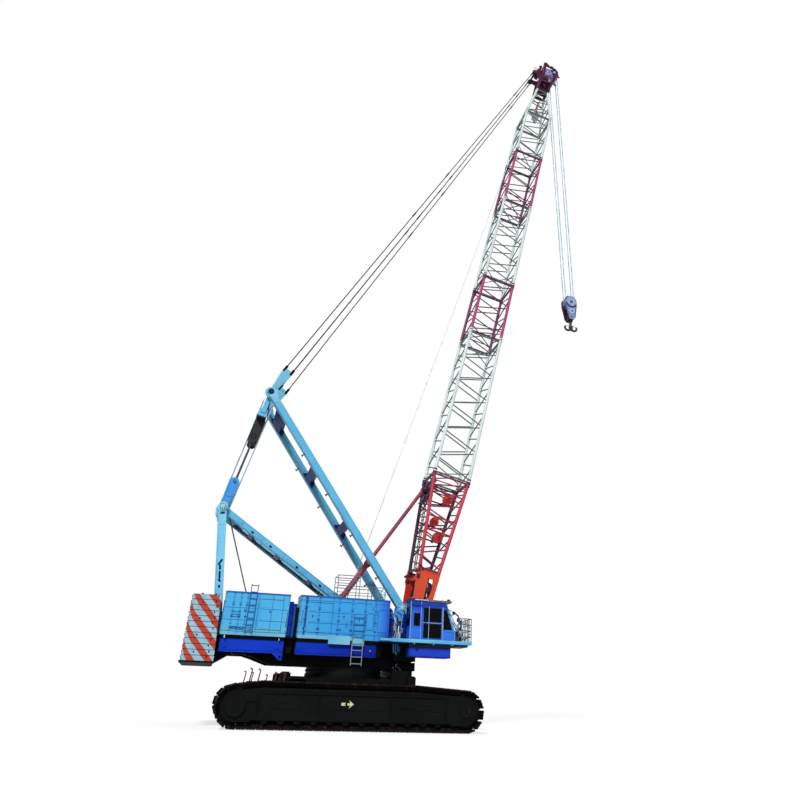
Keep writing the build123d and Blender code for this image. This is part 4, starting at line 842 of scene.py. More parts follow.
# X of the middle, lowest z, width, gap between slats
louvre_table = ((-2.64, 1.79, 0.14, 0.022), (-2.5, 1.785, 0.1, 0.022), (-2.31, 1.78, 0.1, 0.022),
                (-2.64, 2.02, 0.2, 0.05))
places = []
for side in SIDES:
    places += [
        ((x, side * (deck_edge + 0.012), z + i * gap), (SLAT_TILT * side, 0, 0),
         (wide, 0.018, 0.005))
        for x, z, wide, gap in louvre_table for i in range(3)
    ]
    places += [
        ((0.752, side * 0.95, 1.95 + i * 0.045), (0, SLAT_TILT, 0), (0.018, 0.4, 0.004))
        for i in range(10)
    ]
repeat("hood_louvres", unit_block, places, seam_blue, "upperworks", "hood_blue")
lines = []
for side in SIDES:
    y0, y1 = side * (deck_edge + 0.004), side * (deck_edge + 0.05)
    for x, low_z, top in ((-1.57, 1.9, 2.2), (-1.25, 1.95, 2.25), (-0.25, 1.95, 2.12),
                          (0.34, 2.34, 2.44)):
        lines.append([(x, y0, low_z), (x, y1, low_z), (x, y1, top), (x, y0, top)])
bars("hood_grab_handles", lines, 0.008, trim_blue, "upperworks", "rail_blue")
latches = ((-2.47, 2.15), (-2.4, 2.12), (-1.93, 2.16), (-1.0, 2.12), (-0.3, 2.14), (-0.36, 1.88),
           (0.05, 2.1))
latches = [(about(x, 0.014), about(z, 0.024), 0.013) for x, z in latches]
solids("hood_latches", proud(panel_y, *latches), seam_blue, "upperworks", "hood_blue", 0.003)

# Rounded covers near the front: each a frame of half-round bar on a flat plate
covers, rims = [], []
for x0, x1, bottom, top in ((0.215, 0.378, 1.905, 2.24), (0.475, 0.705, 1.865, 2.33)):
    middle, reach = (x0 + x1) / 2, (x1 - x0) / 2
    arch = [
        (middle + reach * math.cos(a), top - 0.35 * reach + 0.35 * reach * math.sin(a))
        for a in (i * math.pi / 10 for i in range(11))
    ]
    covers.append([(x1, bottom)] + arch + [(x0, bottom)])
    for side in SIDES:
        rims.append([(x, side * (panel_y + 0.006), z) for x, z in covers[-1] + covers[-1][:1]])
side_plates("hood_covers", paired(covers, panel_y, panel_y + 0.006), front_hood_lit_and_shaded_blue,
            "upperworks", "hood_blue", 0.002)
bars("hood_cover_rims", rims, 0.006, seam_blue, "upperworks", "hood_blue")

# Pipes, boxes and filters that show in the gap between the two houses
lines = []
for side in SIDES:
    for i in range(3):
        x, y, top = -1.49 + 0.035 * i, side * (1.12 - 0.02 * i), 2.35 - 0.04 * i
        lines.append([(x, y, 1.7), (x, y, top), (x + 0.02, side * 0.9, top + 0.03)])
bars("gap_pipes", lines, 0.013, seam_blue, "upperworks", "machine_grey")
gap_navy = surface("navy_box_enamel", "#06167A #0A2890 #04082C", 0.5, shine=0.08)
for name, x, (y0, y1), top, paint in (
    ("gap_boxes", (-1.525, -1.43), (0.95, 1.2), 2.4, gap_navy),
    ("gap_filters", (-1.36, -1.3), (1.0, 1.16), 2.3, carbody_black),
):
    third = (top - 1.7) / 3
    spans = []
    for side in SIDES:
        for i in range(3):
            z = 1.7 + i * third
            spans.append((x, outward(side, y0, y1), (z, z + third - 0.008)))
        spans.append((within(*x, 0.01), outward(side, y0, y1 - 0.01), (1.7, top - 0.01)))
    solids(name, spans, paint, "upperworks", "hood_blue", 0.006)

# Exhaust stack and a round air cleaner on the left roof, of matt heat-proof enamel
stack_grey = surface("heat_proof_grey_enamel", "#5A5D5E #6E6A64 #3A2A20", 0.6, 0.4)
stacks = [[(-0.2, 0.95, 2.53), (-0.2, 0.95, 2.8), (-0.26, 0.95, 2.88)],
          [(-0.75, 0.95, 2.53), (-0.75, 0.95, 2.62)]]
bars("exhaust_stack", stacks, 0.05, stack_grey, "upperworks", "machine_grey", 20)

# ------------ roof rails and ladders
# Bent steel tube with welded rungs and clamped feet. The blue paint has dulled to slate and
# the lower ladder, knocked and oily, is pale where it is worn.

rail_slate = surface("dulled_slate_rail_enamel", "#4E6470 #5F7682 #22282C", 0.5)
ladder_blue = surface(
    "worn_ladder_enamel", "#1E62AA #2A72B6 #122848", 0.5,
    zones=(((0, 0, -1), -1.72, -1.66, "#7C8A8C"), ((0, 0, 1), 2.53, 2.56, "#20282A")),
)
dress(rail_slate, "roof_rails")
dress(ladder_blue, "ladders")
low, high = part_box("roof_rails")
rail_z, rail_y = high.z - 0.009, (-1.18, -0.72)
lines = []
for y in rail_y:
    lines += [
        [(x, y, rail_z + drop) for x, drop in bend] for bend in (
            ((-0.5, -0.11), (0.0, -0.11)), ((-0.5, -0.36), (0.62, -0.36)),
            ((0.62, -0.22), (0.69, -0.25), (0.7, -0.34), (0.62, -0.37)),
        )
    ]
for x, top in ((-0.5, 0.0), (0.01, 0.0), (0.62, -0.22)):
    lines.append([(x, y, rail_z + top) for y in rail_y])
for i in range(5):
    x = -0.9 + 0.09 * i
    lines.append([(x, -1.1, low.z + 0.01), (x + 0.03, -1.1, low.z + 0.09),
                  (x + 0.1, -1.1, low.z + 0.09)])
bars("roof_rail_braces", lines, 0.007, rail_slate, "upperworks", "rail_blue")
places = [spot((x, y, low.z)) for x in (-0.5, 0.01, 0.3, 0.62) for y in rail_y]
repeat("roof_rail_feet", bolt_head(0.018, 0.02), places, rail_slate, "upperworks", "rail_blue")

# ------------ gantry
# Legs of welded box plate in a paler blue, pinned at the peak. Flange strips run along their
# edges; low on the rear legs are slots and drain holes, and clips for pipes on the front ones.

gantry_blue = surface(
    "pale_blue_gantry_enamel", "#74BDDE #68AFD2 #2B5573", 0.45,
    zones=(((1, 0, 0), -2.885, -2.875, "#2F6FB4"),),
)
leg_blue = surface(
    "blue_leg_enamel", "#56A6CC #4998C4 #1A4A86", 0.45,
    zones=(((0, 1, 0), -0.354, -0.352, "#0F2458"), ((0, 1, 0), 0.353, 0.355, "#6FA9BE")),
)
head_blue = surface("pale_peak_enamel", "#8CC4D4 #5FA6CE #20508A", 0.45)
dress(gantry_blue, "gantry_rear_legs")
dress(leg_blue, "gantry_front_legs")
dress(head_blue, "gantry_head")
# Near-black for dark steel parts, also used as painted shade for the slots and holes in the gantry
# legs
dark_steel_and_hole_shade = surface("unpainted_dark_steel_and_painted_hole_shade", "#05080C #080C12 #030506", 0.8, shine=0.06)


def line_frame(x, z, angle):
    """A way to place (forward, along) measures on a line through x, z at an angle."""
    lean = math.radians(angle)
    return lambda across, length: (
        x + across * math.sin(lean) + length * math.cos(lean),
        z - across * math.cos(lean) + length * math.sin(lean),
    )


def line_between(start, end):
    """The placing function, length and angle of the line between two points (x, z)."""
    angle = math.degrees(math.atan2(end[1] - start[1], end[0] - start[0]))
    return line_frame(*start, angle), math.dist(start, end), angle


def on_line(place, y, *spots):
    """A line of points (x, y, z) at one y, from their places (across, length) on a line."""
    return [(x, y, z) for x, z in (place(*at) for at in spots)]


def strip(place, across, length):
    """Outline of a strip between two values across a line and two along it."""
    return [place(across[0], length[0]), place(across[1], length[0]),
            place(across[1], length[1]), place(across[0], length[1])]


def edged(place, faces, height, edge, along, rungs, rung, half):
    """Strips along the edges of a beam's two faces on both sides, with rungs across them."""
    shapes = [strip(place, span, along) for span in ((-edge[1], -edge[0]), edge)]
    shapes += [strip(place, (-half, half), (s, s + rung)) for s in rungs]
    near, far = faces
    return paired(shapes, near, near - height) + paired(shapes, far, far + height)


def caps(centre, *rows):
    """Discs (radius, inner, outer, how many sides) on both sides of the crane."""
    return [
        (centre, radius, outward(side, inner, outer), count)
        for side in SIDES for radius, inner, outer, count in rows
    ]


peak, front_foot = (-3.344, 4.432), (0.26, deck_top + 0.524)
rear_line, rear_length, rear_angle = line_between((-2.955, deck_top), peak)
front_line, front_length, front_angle = line_between(front_foot, peak)
plates = edged(rear_line, (0.475, 0.575), 0.008, (0.074, 0.092), (0.1, rear_length - 0.1),
               (0.8, 2.35), 0.012, 0.07)
side_plates("gantry_rear_flanges", plates, gantry_blue, "upperworks", "gantry_blue")
plates = edged(front_line, (0.355, 0.455), 0.008, (0.054, 0.068), (0.3, front_length - 0.3),
               (0.42, 0.46, 1.15, 1.75, 2.35, 3.0, 3.6), 0.012, 0.054)
pad = strip(front_line, (-0.03, 0.03), (3.62, 3.78))
plates += paired((pad,), 0.355, 0.339) + paired((pad,), 0.455, 0.471)
side_plates("gantry_front_flanges", plates, leg_blue, "upperworks", "mast_blue")

# Long slots, a slanting slot and small drain holes in the rear legs, drawn as thin near-black
# plates on their faces: painted shade for the openings
slots = []
for s, long, turn in ((1.52, 0.055, 38), (1.41, 0.035, 0), (1.25, 0.06, 0), (1.13, 0.02, -30),
                      (1.0, 0.012, 0), (2.62, 0.012, 90)):
    place = line_frame(*rear_line(0.0, s), rear_angle - turn)
    slots.append([
        place(a, b + (long if b > 0 else -long)) for a, b in circle((0, 0), 0.022, 16)
    ])
side_plates("rear_leg_slots", paired(slots, 0.5755, 0.578), dark_steel_and_hole_shade, "upperworks",
            "gantry_blue", 0)

# Pipe clips and the tubes that run down the front legs to the deck
bm = bmesh.new()
cuboid(bm, (-0.018, 0.018), (-0.01, 0.01), (-0.03, 0.03))
along_leg = (0, math.radians(90 - front_angle), 0)
places = []
for y in (-0.46, -0.35, 0.35, 0.46):
    spots = ((-0.02, s) for s in (0.75, 1.25, 1.95, 2.75, 3.3))
    places += [spot(point, along_leg) for point in on_line(front_line, y, *spots)]
repeat("leg_pipe_clips", closed(bm), places, dark_steel_and_hole_shade, "upperworks", "machine_grey")
lines = [
    on_line(front_line, y, (a, 0.3), (a, front_length - 0.4))
    for y in (-0.345, 0.345) for a in (-0.035, -0.01)
]
bars("leg_pipes", lines, 0.009, dark_steel_and_hole_shade, "upperworks", "machine_grey", 6)

# Peak: hub caps, bolts, and the stop plates behind the sheaves
solids("peak_hub_caps", caps(peak, (0.085, 0.62, 0.634, 24), (0.045, 0.634, 0.65, 18)),
       head_blue, "upperworks", "gantry_blue", 0.004)
places = ring(peak, 0.634, 0.065, 8, 0.5)
for side, facing in SIDES.items():
    keeper = on_line(rear_line, side * 0.583, *((a, 2.62) for a in (-0.04, 0, 0.04)))
    places += [spot(point, facing, 0.6) for point in keeper]
repeat("peak_bolts", bolt_head(), places, dark_steel_and_hole_shade, "upperworks", "machine_grey")
stop = [(peak[0] + x, peak[1] + z) for x, z in (
    (-0.09, -0.16), (0.03, -0.2), (0.08, -0.14), (-0.1, 0.04), (-0.13, -0.03)
)]
side_plates("peak_stops", paired((stop,), 0.4, 0.43), leg_blue, "upperworks", "gantry_blue")

# ------------ winches, spreaders and ropes
# Cast drums wound with greased steel wire rope in close turns. The boom-hoist rope goes from
# the peak sheaves to the spreaders in many parts; all of it is hauled taut.

drum_steel = surface("greased_cast_steel", "#3A3B3C #4A4947 #2A2018", 0.45, 0.7)
rope_steel = surface("greased_wire_rope", "#3E4248 #565C64 #1E1A18", 0.5, 0.6, 8, 0.55)
light_rope = surface(
    "galvanised_wire_rope", "#C4D8DE #A5BCC4 #3E5058", 0.5, 0.3, 2.5, 0.56, streak=0.9
)
dress(drum_steel, "hoist_drum", "luffing_drum")
dress(shade_painted_blue, "winch_stands")
tree, given, close = grow_tree(
    "wound_rope", Drum="Float", Width="Float", Rope="Float", Turns="Float", Centre="Vector"
)
coil = node(
    tree, "GeometryNodeCurveSpiral",
    {"Resolution": 20, "Rotations": given["Turns"], "Start Radius": given["Drum"],
     "End Radius": given["Drum"], "Height": given["Width"]},
)
half = node(tree, "ShaderNodeMath", {0: given["Width"], 1: 0.5}, operation="MULTIPLY")
shift = node(tree, "ShaderNodeCombineXYZ", {"Y": half})
centre = node(tree, "ShaderNodeVectorMath", {0: given["Centre"], 1: shift}, operation="ADD")
laid = node(
    tree, "GeometryNodeTransform",
    {"Geometry": tube(tree, coil, 5, given["Rope"]), "Rotation": (math.pi / 2, 0, 0),
     "Translation": centre},
)
wound_rope = close(node(tree, "GeometryNodeSetShadeSmooth", {"Geometry": laid}).outputs[0])
cases = []
for drum, radius, body in (("hoist_drum", 0.205, "hoist_winch"),
                           ("luffing_drum", 0.185, "luffing_winch")):
    low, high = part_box(drum)
    centre = (low + high) / 2
    hub = (centre.x, centre.z)
    values = {"Drum": radius + 0.012, "Width": 0.56, "Rope": 0.012, "Turns": 23.0,
              "Centre": tuple(centre)}
    grow(f"{drum}_rope", wound_rope, bpy.data.meshes.new("empty"), values, rope_steel, body,
         "rope_steel")
    repeat(f"{drum}_bolts", bolt_head(), ring(hub, 0.32, radius - 0.05, 10, 0.9), drum_steel,
           body, "drum_steel")
    cases += [*caps(hub, (0.12, 0.376, 0.43, 24)), (hub, 0.075, (0.43, 0.6), 20)]
# Both drums drive through a motor and gear case bolted on the stands
solids("winch_gear_cases", cases, stack_grey, "upperworks", "machine_grey", 0.006)

mast_foot, MAST_ANGLE, MAST_LENGTH = (1.128, 2.452), 127.63, 6.25
mast_line = line_frame(*mast_foot, MAST_ANGLE)
mast_tip = mast_line(0, MAST_LENGTH)
reeve_line, reeve_length, _ = line_between(peak, mast_tip)
LOWER_SHAFT, UPPER_SHAFT = 0.72, reeve_length - 1.11


def zone_along(start, end, low, high, code):
    """A paint zone that starts and ends at distances along a line from a point (x, z)."""
    span = math.dist(start, end)
    x, z = (end[0] - start[0]) / span, (end[1] - start[1]) / span
    origin = start[0] * x + start[1] * z
    return ((x, 0, z), origin + low, origin + high, code)


lower_blue = surface("spreader_enamel", "#3186CC #4697D0 #123A6E", 0.42)
upper_blue = surface(
    "upper_spreader_enamel", "#0A0E14 #0D121A #1E1A18", 0.5,
    zones=(zone_along(peak, mast_tip, reeve_length - 0.64, reeve_length - 0.62, "#5AA8CC"),),
)
dress(lower_blue, "lower_spreader")
dress(upper_blue, "upper_spreader")
edges = [strip(reeve_line, span, (0.0, 0.7)) for span in ((-0.095, -0.075), (0.075, 0.095))]
band = strip(reeve_line, (-0.07, 0.07), (0.33, 0.42))
side_plates("lower_spreader_flanges", paired(edges, 0.262, 0.27) + paired((band,), 0.262, 0.278),
            lower_blue, "lower_spreader_frame", "mast_blue")
edges = [
    strip(reeve_line, (edge, edge + 0.016), (reeve_length - 0.5, reeve_length - 0.06))
    for edge in (-0.062, 0.046)
]
band = strip(reeve_line, (-0.11, 0.11), (reeve_length - 0.66, reeve_length - 0.6))
side_plates("upper_spreader_flanges", paired(edges, 0.56, 0.566) + paired((band,), 0.1, 0.555),
            upper_blue, "upper_spreader_frame", "mast_blue")
for name, shaft_at, circle_at in (("lower_spreader", LOWER_SHAFT, (0.028, 6, 0.4)),
                                  ("upper_spreader", UPPER_SHAFT, (0.06, 8, 0.6))):
    repeat(f"{name}_bolts", bolt_head(), ring(reeve_line(0, shaft_at), 0.3, *circle_at),
           dark_steel_and_hole_shade, f"{name}_frame", "machine_grey")


def taut(name, lines, radius, material, a, b, start, end):
    """Straight ropes with points only at their two ends."""
    piece = bars(name, lines, radius, material, None, "rope_steel", 6)
    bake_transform(piece)
    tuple(start)
    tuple(end)
    return piece


LOWER_REACH, UPPER_REACH = 0.121, 0.146
outer_parts = (-0.15, -0.09, -0.03, 0.03, 0.09, 0.15)
for name, sign, parts, radius, material in (
    ("reeving_behind", -1, outer_parts, 0.011, light_rope),
    ("reeving_before", 1, outer_parts, 0.011, light_rope),
    ("reeving_middle", 0, (-0.21, 0.21), 0.016, rope_steel),
):
    ends = ((sign * LOWER_REACH, 0), (sign * UPPER_REACH, reeve_length))
    taut(name, [on_line(reeve_line, y, *ends) for y in parts], radius, material,
         "upperworks", "mast", *on_line(reeve_line, 0, (0, 0.05), (0, reeve_length - 0.05)))

# The luffing rope goes from its drum up to the peak sheaves
lines = [[(-2.23, y, 2.08), (peak[0] + 0.16, y * 1.5, peak[1] - 0.04)] for y in (-0.06, 0.06)]
bars("luffing_rope", lines, 0.011, rope_steel, "upperworks", "rope_steel", 6)

# ------------ foot brackets
# Thick lug plates on the deck carry the boom's, the mast's and the gantry's foot pins. Their
# keeper plates are bolted on, and pipes and valves crowd the deck between them and the cab.

lug_blue = surface("blue_lug_enamel", "#3F90D4 #4FA2DC #102C50", 0.48)
dress(lug_blue, "foot_brackets")
pin_caps = caps(mast_foot, (0.085, 0.82, 0.826, 28), (0.05, 0.826, 0.85, 20))
pin_caps += caps(front_foot, (0.06, 0.5, 0.508, 24))
solids("foot_pin_caps", pin_caps, head_blue, "upperworks", "gantry_blue", 0.003)
places = ring(mast_foot, 0.826, 0.068, 6, 0.5) + ring(front_foot, 0.508, 0.048, 6, 0.4)
repeat("pin_keeper_bolts", bolt_head(), places, shoe_steel, "upperworks", "machine_grey")
gussets = []
for y, front, back in ((0.745, 1.0, 0.9), (0.48, 1.76, 1.66)):
    shape = ((front, 0), (front, 0.34), (back, 0.3), (back - 0.04, 0))
    gussets += paired(([(x, deck_top + up) for x, up in shape],), y + 0.075, y + 0.09)
side_plates("bracket_gussets", gussets, lug_blue, "upperworks", "gantry_blue")

# Pipes, hoses and valve blocks on the deck beside the right brackets
hose_black = surface("oily_hose_rubber", "#141618 #1C1E20 #4A4640", 0.6)
pipe_white = surface("chalked_white_pipe", "#C8D2D4 #A0AEB4 #4E5A60", 0.5)
tangle = {"hose_black": [], "pipe_white": [], "pipe_blue": []}
kinds = ("hose_black", "pipe_blue", "pipe_white", "hose_black", "pipe_blue", "hose_black")
for i in range(12):
    x, y = 0.79 + 0.034 * i, -0.9 - 0.035 * ((i * 3) % 5)
    top, sway = 2.02 + 0.11 * ((i * 5) % 4), 0.05 * (((i * 7) % 5) - 2)
    tangle[kinds[i % len(kinds)]].append([
        (x, y, 1.73), (x + sway * 0.5, y - 0.02, 1.86), (x + sway, y, top - 0.08),
        (x + sway * 0.6, y + 0.05, top), (x - 0.03, y + 0.09, top + 0.02),
    ])
for i in range(6):
    x, dip = 0.88 + 0.026 * i, 1.45 + 0.03 * (i % 3)
    tangle["pipe_blue" if i % 2 else "hose_black"].append([
        (x, -1.08, 1.66), (x + 0.005, -1.1, 1.56), (x + 0.012, -1.1, dip + 0.03),
        (x + 0.03, -1.09, dip), (x + 0.05, -1.06, dip + 0.03), (x + 0.055, -1.03, 1.62),
    ])
for (name, lines), material in zip(tangle.items(), (hose_black, pipe_white, lug_blue)):
    bars(f"deck_{name}", lines, 0.013, material, "upperworks", "machine_grey")


def lumps(*rows):
    """Boxes from the middle and the half size on each axis: (x, y, z, half x, half y, half z)."""
    return [tuple(about(row[i], row[i + 3]) for i in range(3)) for row in rows]


valves = lumps(
    (0.86, -0.98, 1.78, 0.05, 0.06, 0.05), (1.02, -1.0, 1.82, 0.06, 0.05, 0.09),
    (0.94, -0.93, 2.0, 0.05, 0.05, 0.06), (1.12, -0.96, 1.95, 0.04, 0.05, 0.05),
    (1.06, -0.92, 2.18, 0.04, 0.05, 0.04),
)
solids("valve_blocks", valves, pipe_grey, "upperworks", "machine_grey", 0.006)
# Stacks of control valves close the gap behind the hoses
banks = []
for x, height in ((0.795, 7), (0.86, 5), (1.165, 6)):
    for i in range(height):
        z = 1.71 + 0.1 * i
        banks.append(((x - 0.03, x + 0.03 - 0.012 * (i % 2)), (-1.06, -0.9), (z, z + 0.088)))
        banks.append(((x, z + 0.044), 0.018, (-1.085, -1.06), 10))
solids("valve_banks", banks, gap_navy, "upperworks", "machine_grey", 0.004)

# ------------ cab
# A pressed-steel cab in deep blue with rubber-set tinted glass and a sliding door hung
# outside. A weathered visor covers its roof; wipers, lamps and mirrors are bolted on.

# Cab and door paint darken towards the top: painted shade below the roof edge. The cab's is also
# lighter low down and at the nose
cab_blue, door_blue = (
    surface(name, "#1B58C4 #2468D2 #0E2450", 0.35, streak=0.25, zones=zones)
    for name, zones in (
        ("deep_cab_enamel_with_painted_shade", (
            ((1, 0, 0.2), 2.42, 2.46, "#2C82D4"), ((0, 0, 1), 2.3, 2.46, "#0E369A"),
            ((0, 0, -1), -1.99, -1.95, "#2A70D4"),
        )),
        ("cab_door_enamel_with_painted_shade", (((0, 0, 1), 2.28, 2.44, "#0E369A"),)),
    )
)
glass = bpy.data.materials.new("tinted_cab_glass")
tree = blank_tree(glass)
coat(tree, noise(tree, 3.0, 2.0), 0.002, 0.05, {
    "Base Color": "#090E18", "Roughness": 0.04, "IOR": 1.17, "Specular IOR Level": 0.12,
    "Transmission Weight": 0.8,
})
dress(cab_blue, "cab_shell")
dress(door_blue, "cab_door")
dress(glass, "cab_glass", "cab_door_glass")
CAB_OUT, CAB_IN, CAB_BACK, CAB_NOSE, CAB_TOP = -1.33, -0.87, 1.22, 2.29, 2.56
NOSE_LEAN, DOOR_OUT = 0.349, -1.367


def nose_x(z):
    """X of the slanted front of the cab at a height."""
    return 2.07 + (CAB_TOP - z) * NOSE_LEAN


def pane(y, x0, x1, z0, z1):
    """The closed outline of a side pane."""
    return [(x0, y, z0), (x1, y, z0), (x1, y, z1), (x0, y, z1), (x0, y, z0)]


def end_pane(y0, y1, z0, z1):
    """The closed outline (y, z) of a front or rear pane."""
    return ((y0, z0), (y1, z0), (y1, z1), (y0, z1), (y0, z0))


# Rubber seals round every pane
low_x, high_x = nose_x(1.985) - 0.048, nose_x(2.4) - 0.048
slanted = ((2.01, 1.985), (low_x, 1.985), (high_x, 2.4), (2.01, 2.4), (2.01, 1.985))
seals = [
    pane(CAB_OUT, 1.3, 1.44, 2.04, 2.3), pane(CAB_IN, 1.5, 1.96, 2.05, 2.44),
    [(x, CAB_OUT, z) for x, z in slanted],
    [(nose_x(z) + 0.001, y, z) for y, z in end_pane(-1.29, -0.91, 1.985, 2.5)],
    [(CAB_BACK, y, z) for y, z in end_pane(-1.27, -0.93, 2.05, 2.44)],
]
bars("cab_pane_seals", seals, 0.007, black_rubber, "upperworks", "seat_black")
seals = [pane(DOOR_OUT, 1.52, 1.94, *z) for z in ((1.8, 2.09), (2.13, 2.42))]
bars("cab_door_seals", seals, 0.006, black_rubber, "cab_slide_door", "seat_black")

# Pale drip rails, corner beads and the door's trim of bare aluminium
bead = surface("dull_aluminium_bead", "#7FA4CC #98B4CC #3A4A58", 0.4, 0.5, 8)
beads = [[(x, CAB_OUT + 0.003, z) for z in span]
         for x, span in ((2.0, (1.74, 2.46)), (1.47, (1.76, 2.55)))]
for y in (CAB_OUT, CAB_IN):
    beads.append([(CAB_BACK, y, 1.74), (CAB_BACK, y, 2.55)])
    beads.append([(CAB_NOSE, y, 1.74), (CAB_NOSE, y, 1.93), (2.07, y, 2.555)])
beads.append([(CAB_NOSE, y, 1.93) for y in (CAB_OUT, CAB_IN)])
bars("cab_beads", beads, 0.009, bead, "upperworks", "cab_blue")
trim = [[(x, -1.37, z) for z in (1.765, 2.455)] for x in (1.645, 1.972)]
trim.append([(x, -1.37, 2.11) for x in (1.5, 1.96)])
bars("cab_door_trim", trim, 0.007, bead, "cab_slide_door", "cab_blue")
handle = [(1.56, y, z) for y, z in ((-1.365, 2.0), (-1.395, 2.01), (-1.395, 2.2), (-1.365, 2.21))]
bars("cab_door_handle", [handle], 0.008, black_rubber, "cab_slide_door", "seat_black")
black_parts_and_pane_shade = surface("black_moulded_parts_and_painted_pane_shade", "#0C0E10 #15171A #26221E", 0.55)
# Black sheets just inside the door's lower pane and the rear of its upper pane: painted shade for
# the dark cab behind the glass
panels = [((1.522, x), (-1.3488, -1.3465), z)
          for x, z in ((1.938, (1.802, 2.088)), (1.632, (2.132, 2.418)))]
solids("door_kick_panel", panels, black_parts_and_pane_shade, "cab_slide_door", "seat_black")
# The lower quarter panel, the vents behind the door and the rear access cover
panels = [
    ((2.02, 2.235), (CAB_OUT - 0.008, CAB_OUT), (1.94, 1.985)),
    ((1.25, 1.45), (CAB_OUT - 0.006, CAB_OUT), (1.79, 1.99)),
    ((2.03, 2.262), (CAB_OUT - 0.006, CAB_OUT), (1.76, 1.925)),
]
panels += [
    ((1.275, 1.425), (CAB_OUT - 0.01, CAB_OUT - 0.004), (1.815 + 0.028 * i, 1.823 + 0.028 * i))
    for i in range(6)
]
solids("cab_side_panels", panels, cab_blue, "upperworks", "cab_blue", 0.003)

# Visor: a folded sheet on the roof with a lip and stays, its paint gone to brown-grey
lens_white = surface("ribbed_lamp_glass", "#D8E0E0 #B8C4C8 #7A8488", 0.2, 0, 12)
visor_paint = surface("weathered_visor_enamel", "#57534C #6A665E #2A2622", 0.7, 0, 5)
visor = [((1.6, 2.19), (-1.352, -0.848), (2.557, 2.597)),
         ((2.155, 2.19), (-1.352, -0.848), (2.572, 2.597))]
visor += [((1.62 + 0.16 * i, 1.64 + 0.16 * i), (-1.345, -0.855), (2.597, 2.606))
          for i in range(4)]
for name, shapes, paint in (
    ("roof_visor", visor, visor_paint),
    ("roof_gutter", [((1.19, 1.61), (-1.356, -0.85), (2.592, 2.61))], black_rubber),
    ("gutter_lip", [((1.3, 1.62), (-1.362, -1.356), (2.578, 2.594))], lens_white),
):
    solids(name, shapes, paint, "upperworks", "machine_grey", 0.002)

# Wipers on the slanted and the side pane, mirrors on bent arms, and work lamps
wipers = [
    [(nose_x(z) + 0.012, y, z) for y, z in ends]
    for ends in (((-1.08, 2.47), (-1.15, 2.2)), ((-1.16, 2.3), (-1.14, 2.1)))
]
wipers.append([(2.1, CAB_OUT - 0.012, 2.02), (2.16, CAB_OUT - 0.012, 2.22)])
bars("cab_wipers", wipers, 0.005, black_rubber, "upperworks", "seat_black", 6)
arms = [
    [(2.1, CAB_OUT, 2.42), (2.19, -1.38, 2.38), (2.21, -1.4, 2.34)],
    [(2.1, CAB_OUT, 2.32), (2.2, -1.38, 2.29), (2.21, -1.4, 2.31)],
    [(2.1, CAB_IN, 2.42), (2.2, -0.84, 2.36)],
]
bars("mirror_arms", arms, 0.007, black_rubber, "upperworks", "seat_black", 6)
shapes = lumps(
    (2.22, -1.41, 2.33, 0.012, 0.055, 0.03), (2.2, -0.83, 2.33, 0.012, 0.04, 0.06),
    (2.25, -1.34, 2.36, 0.03, 0.03, 0.018), (2.14, -1.25, 2.62, 0.03, 0.035, 0.022),
    (2.14, -0.95, 2.62, 0.03, 0.035, 0.022), (2.3, -1.12, 2.02, 0.018, 0.05, 0.03),
)
solids("mirrors_and_lamps", shapes, black_parts_and_pane_shade, "upperworks", "seat_black", 0.006)
shapes = [((2.17, 2.173), about(y, 0.028), (2.604, 2.636)) for y in (-1.25, -0.95)]
solids("lamp_lenses", shapes, lens_white, "upperworks", "glass")

# Grab rails and hoses that run down from the brow past the slanted front
rails = [[(2.13, y, 2.4), (2.24, y, 2.2), (2.4, y, 1.95), (2.5, y, 1.75)] for y in (-1.33, -1.2)]
bars("front_grab_rails", rails, 0.014, bead, "upperworks", "cab_blue")
hoses = [
    [(2.24, -1.3, 2.38), (2.36, -1.31, 2.3), (2.43, -1.32, 2.16), (2.42, -1.31, 1.98)],
    [(2.28, -1.27, 2.16), (2.36, -1.29, 2.05), (2.48, -1.3, 2.0)],
    [(2.3, -1.3, 1.76), (2.34, -1.31, 1.92), (2.44, -1.31, 2.08), (2.46, -1.3, 2.22)],
    [(2.29, -1.24, 1.88), (2.42, -1.28, 1.84), (2.5, -1.3, 1.92)],
]
bars("front_hoses", hoses, 0.016, black_rubber, "upperworks", "machine_grey")

# Operator's seat: sprung base, and cushions of black vinyl over foam, with welted seams
vinyl = surface("black_grained_vinyl", "#17181A #202124 #34312C", 0.5, 0, 6, 0.66, 220,
                0.0015)
seat_base = surface("grey_seat_casting", "#3A3D40 #4A4D50 #201E1C", 0.5, 0.2)


def cushion(name, x, y, z, lean, crown):
    """A stuffed pad: a rounded block, fuller in the middle, with a sewn channel across it."""
    bm = bmesh.new()
    bmesh.ops.create_cube(bm, size=1)
    bmesh.ops.subdivide_edges(bm, edges=bm.edges, cuts=9, use_grid_fill=True)
    centre = [sum(span) / 2 for span in (x, y, z)]
    size = [span[1] - span[0] for span in (x, y, z)]
    thin = size.index(min(size))
    broad_axes = [axis for axis in range(3) if axis != thin]
    for vert in bm.verts:
        full = math.prod(
            math.cos(math.pi / 2 * min(1, abs(vert.co[axis]) * 2) ** 2.2) for axis in broad_axes
        )
        seam = math.exp(-(abs(abs(vert.co[1 if thin == 2 else 2]) - 0.17) / 0.03) ** 2)
        vert.co[thin] *= (1 - crown) + crown * full - 0.12 * seam * (full > 0.05)
        for axis in broad_axes:
            vert.co[axis] *= 1 - 0.06 * (abs(vert.co[thin]) * 2) ** 3
        vert.co = Vector(vert.co[i] * size[i] for i in range(3))
    turn = Matrix.Rotation(lean, 4, "Y")
    bmesh.ops.transform(bm, matrix=Matrix.Translation(centre) @ turn, verts=bm.verts)
    for face in bm.faces:
        face.smooth = True
    pad = fit(name, closed(bm), vinyl, "upperworks", "seat_black")
    rounder = pad.modifiers.new("rounder", "SUBSURF")
    rounder.levels = rounder.render_levels = 1
    return pad


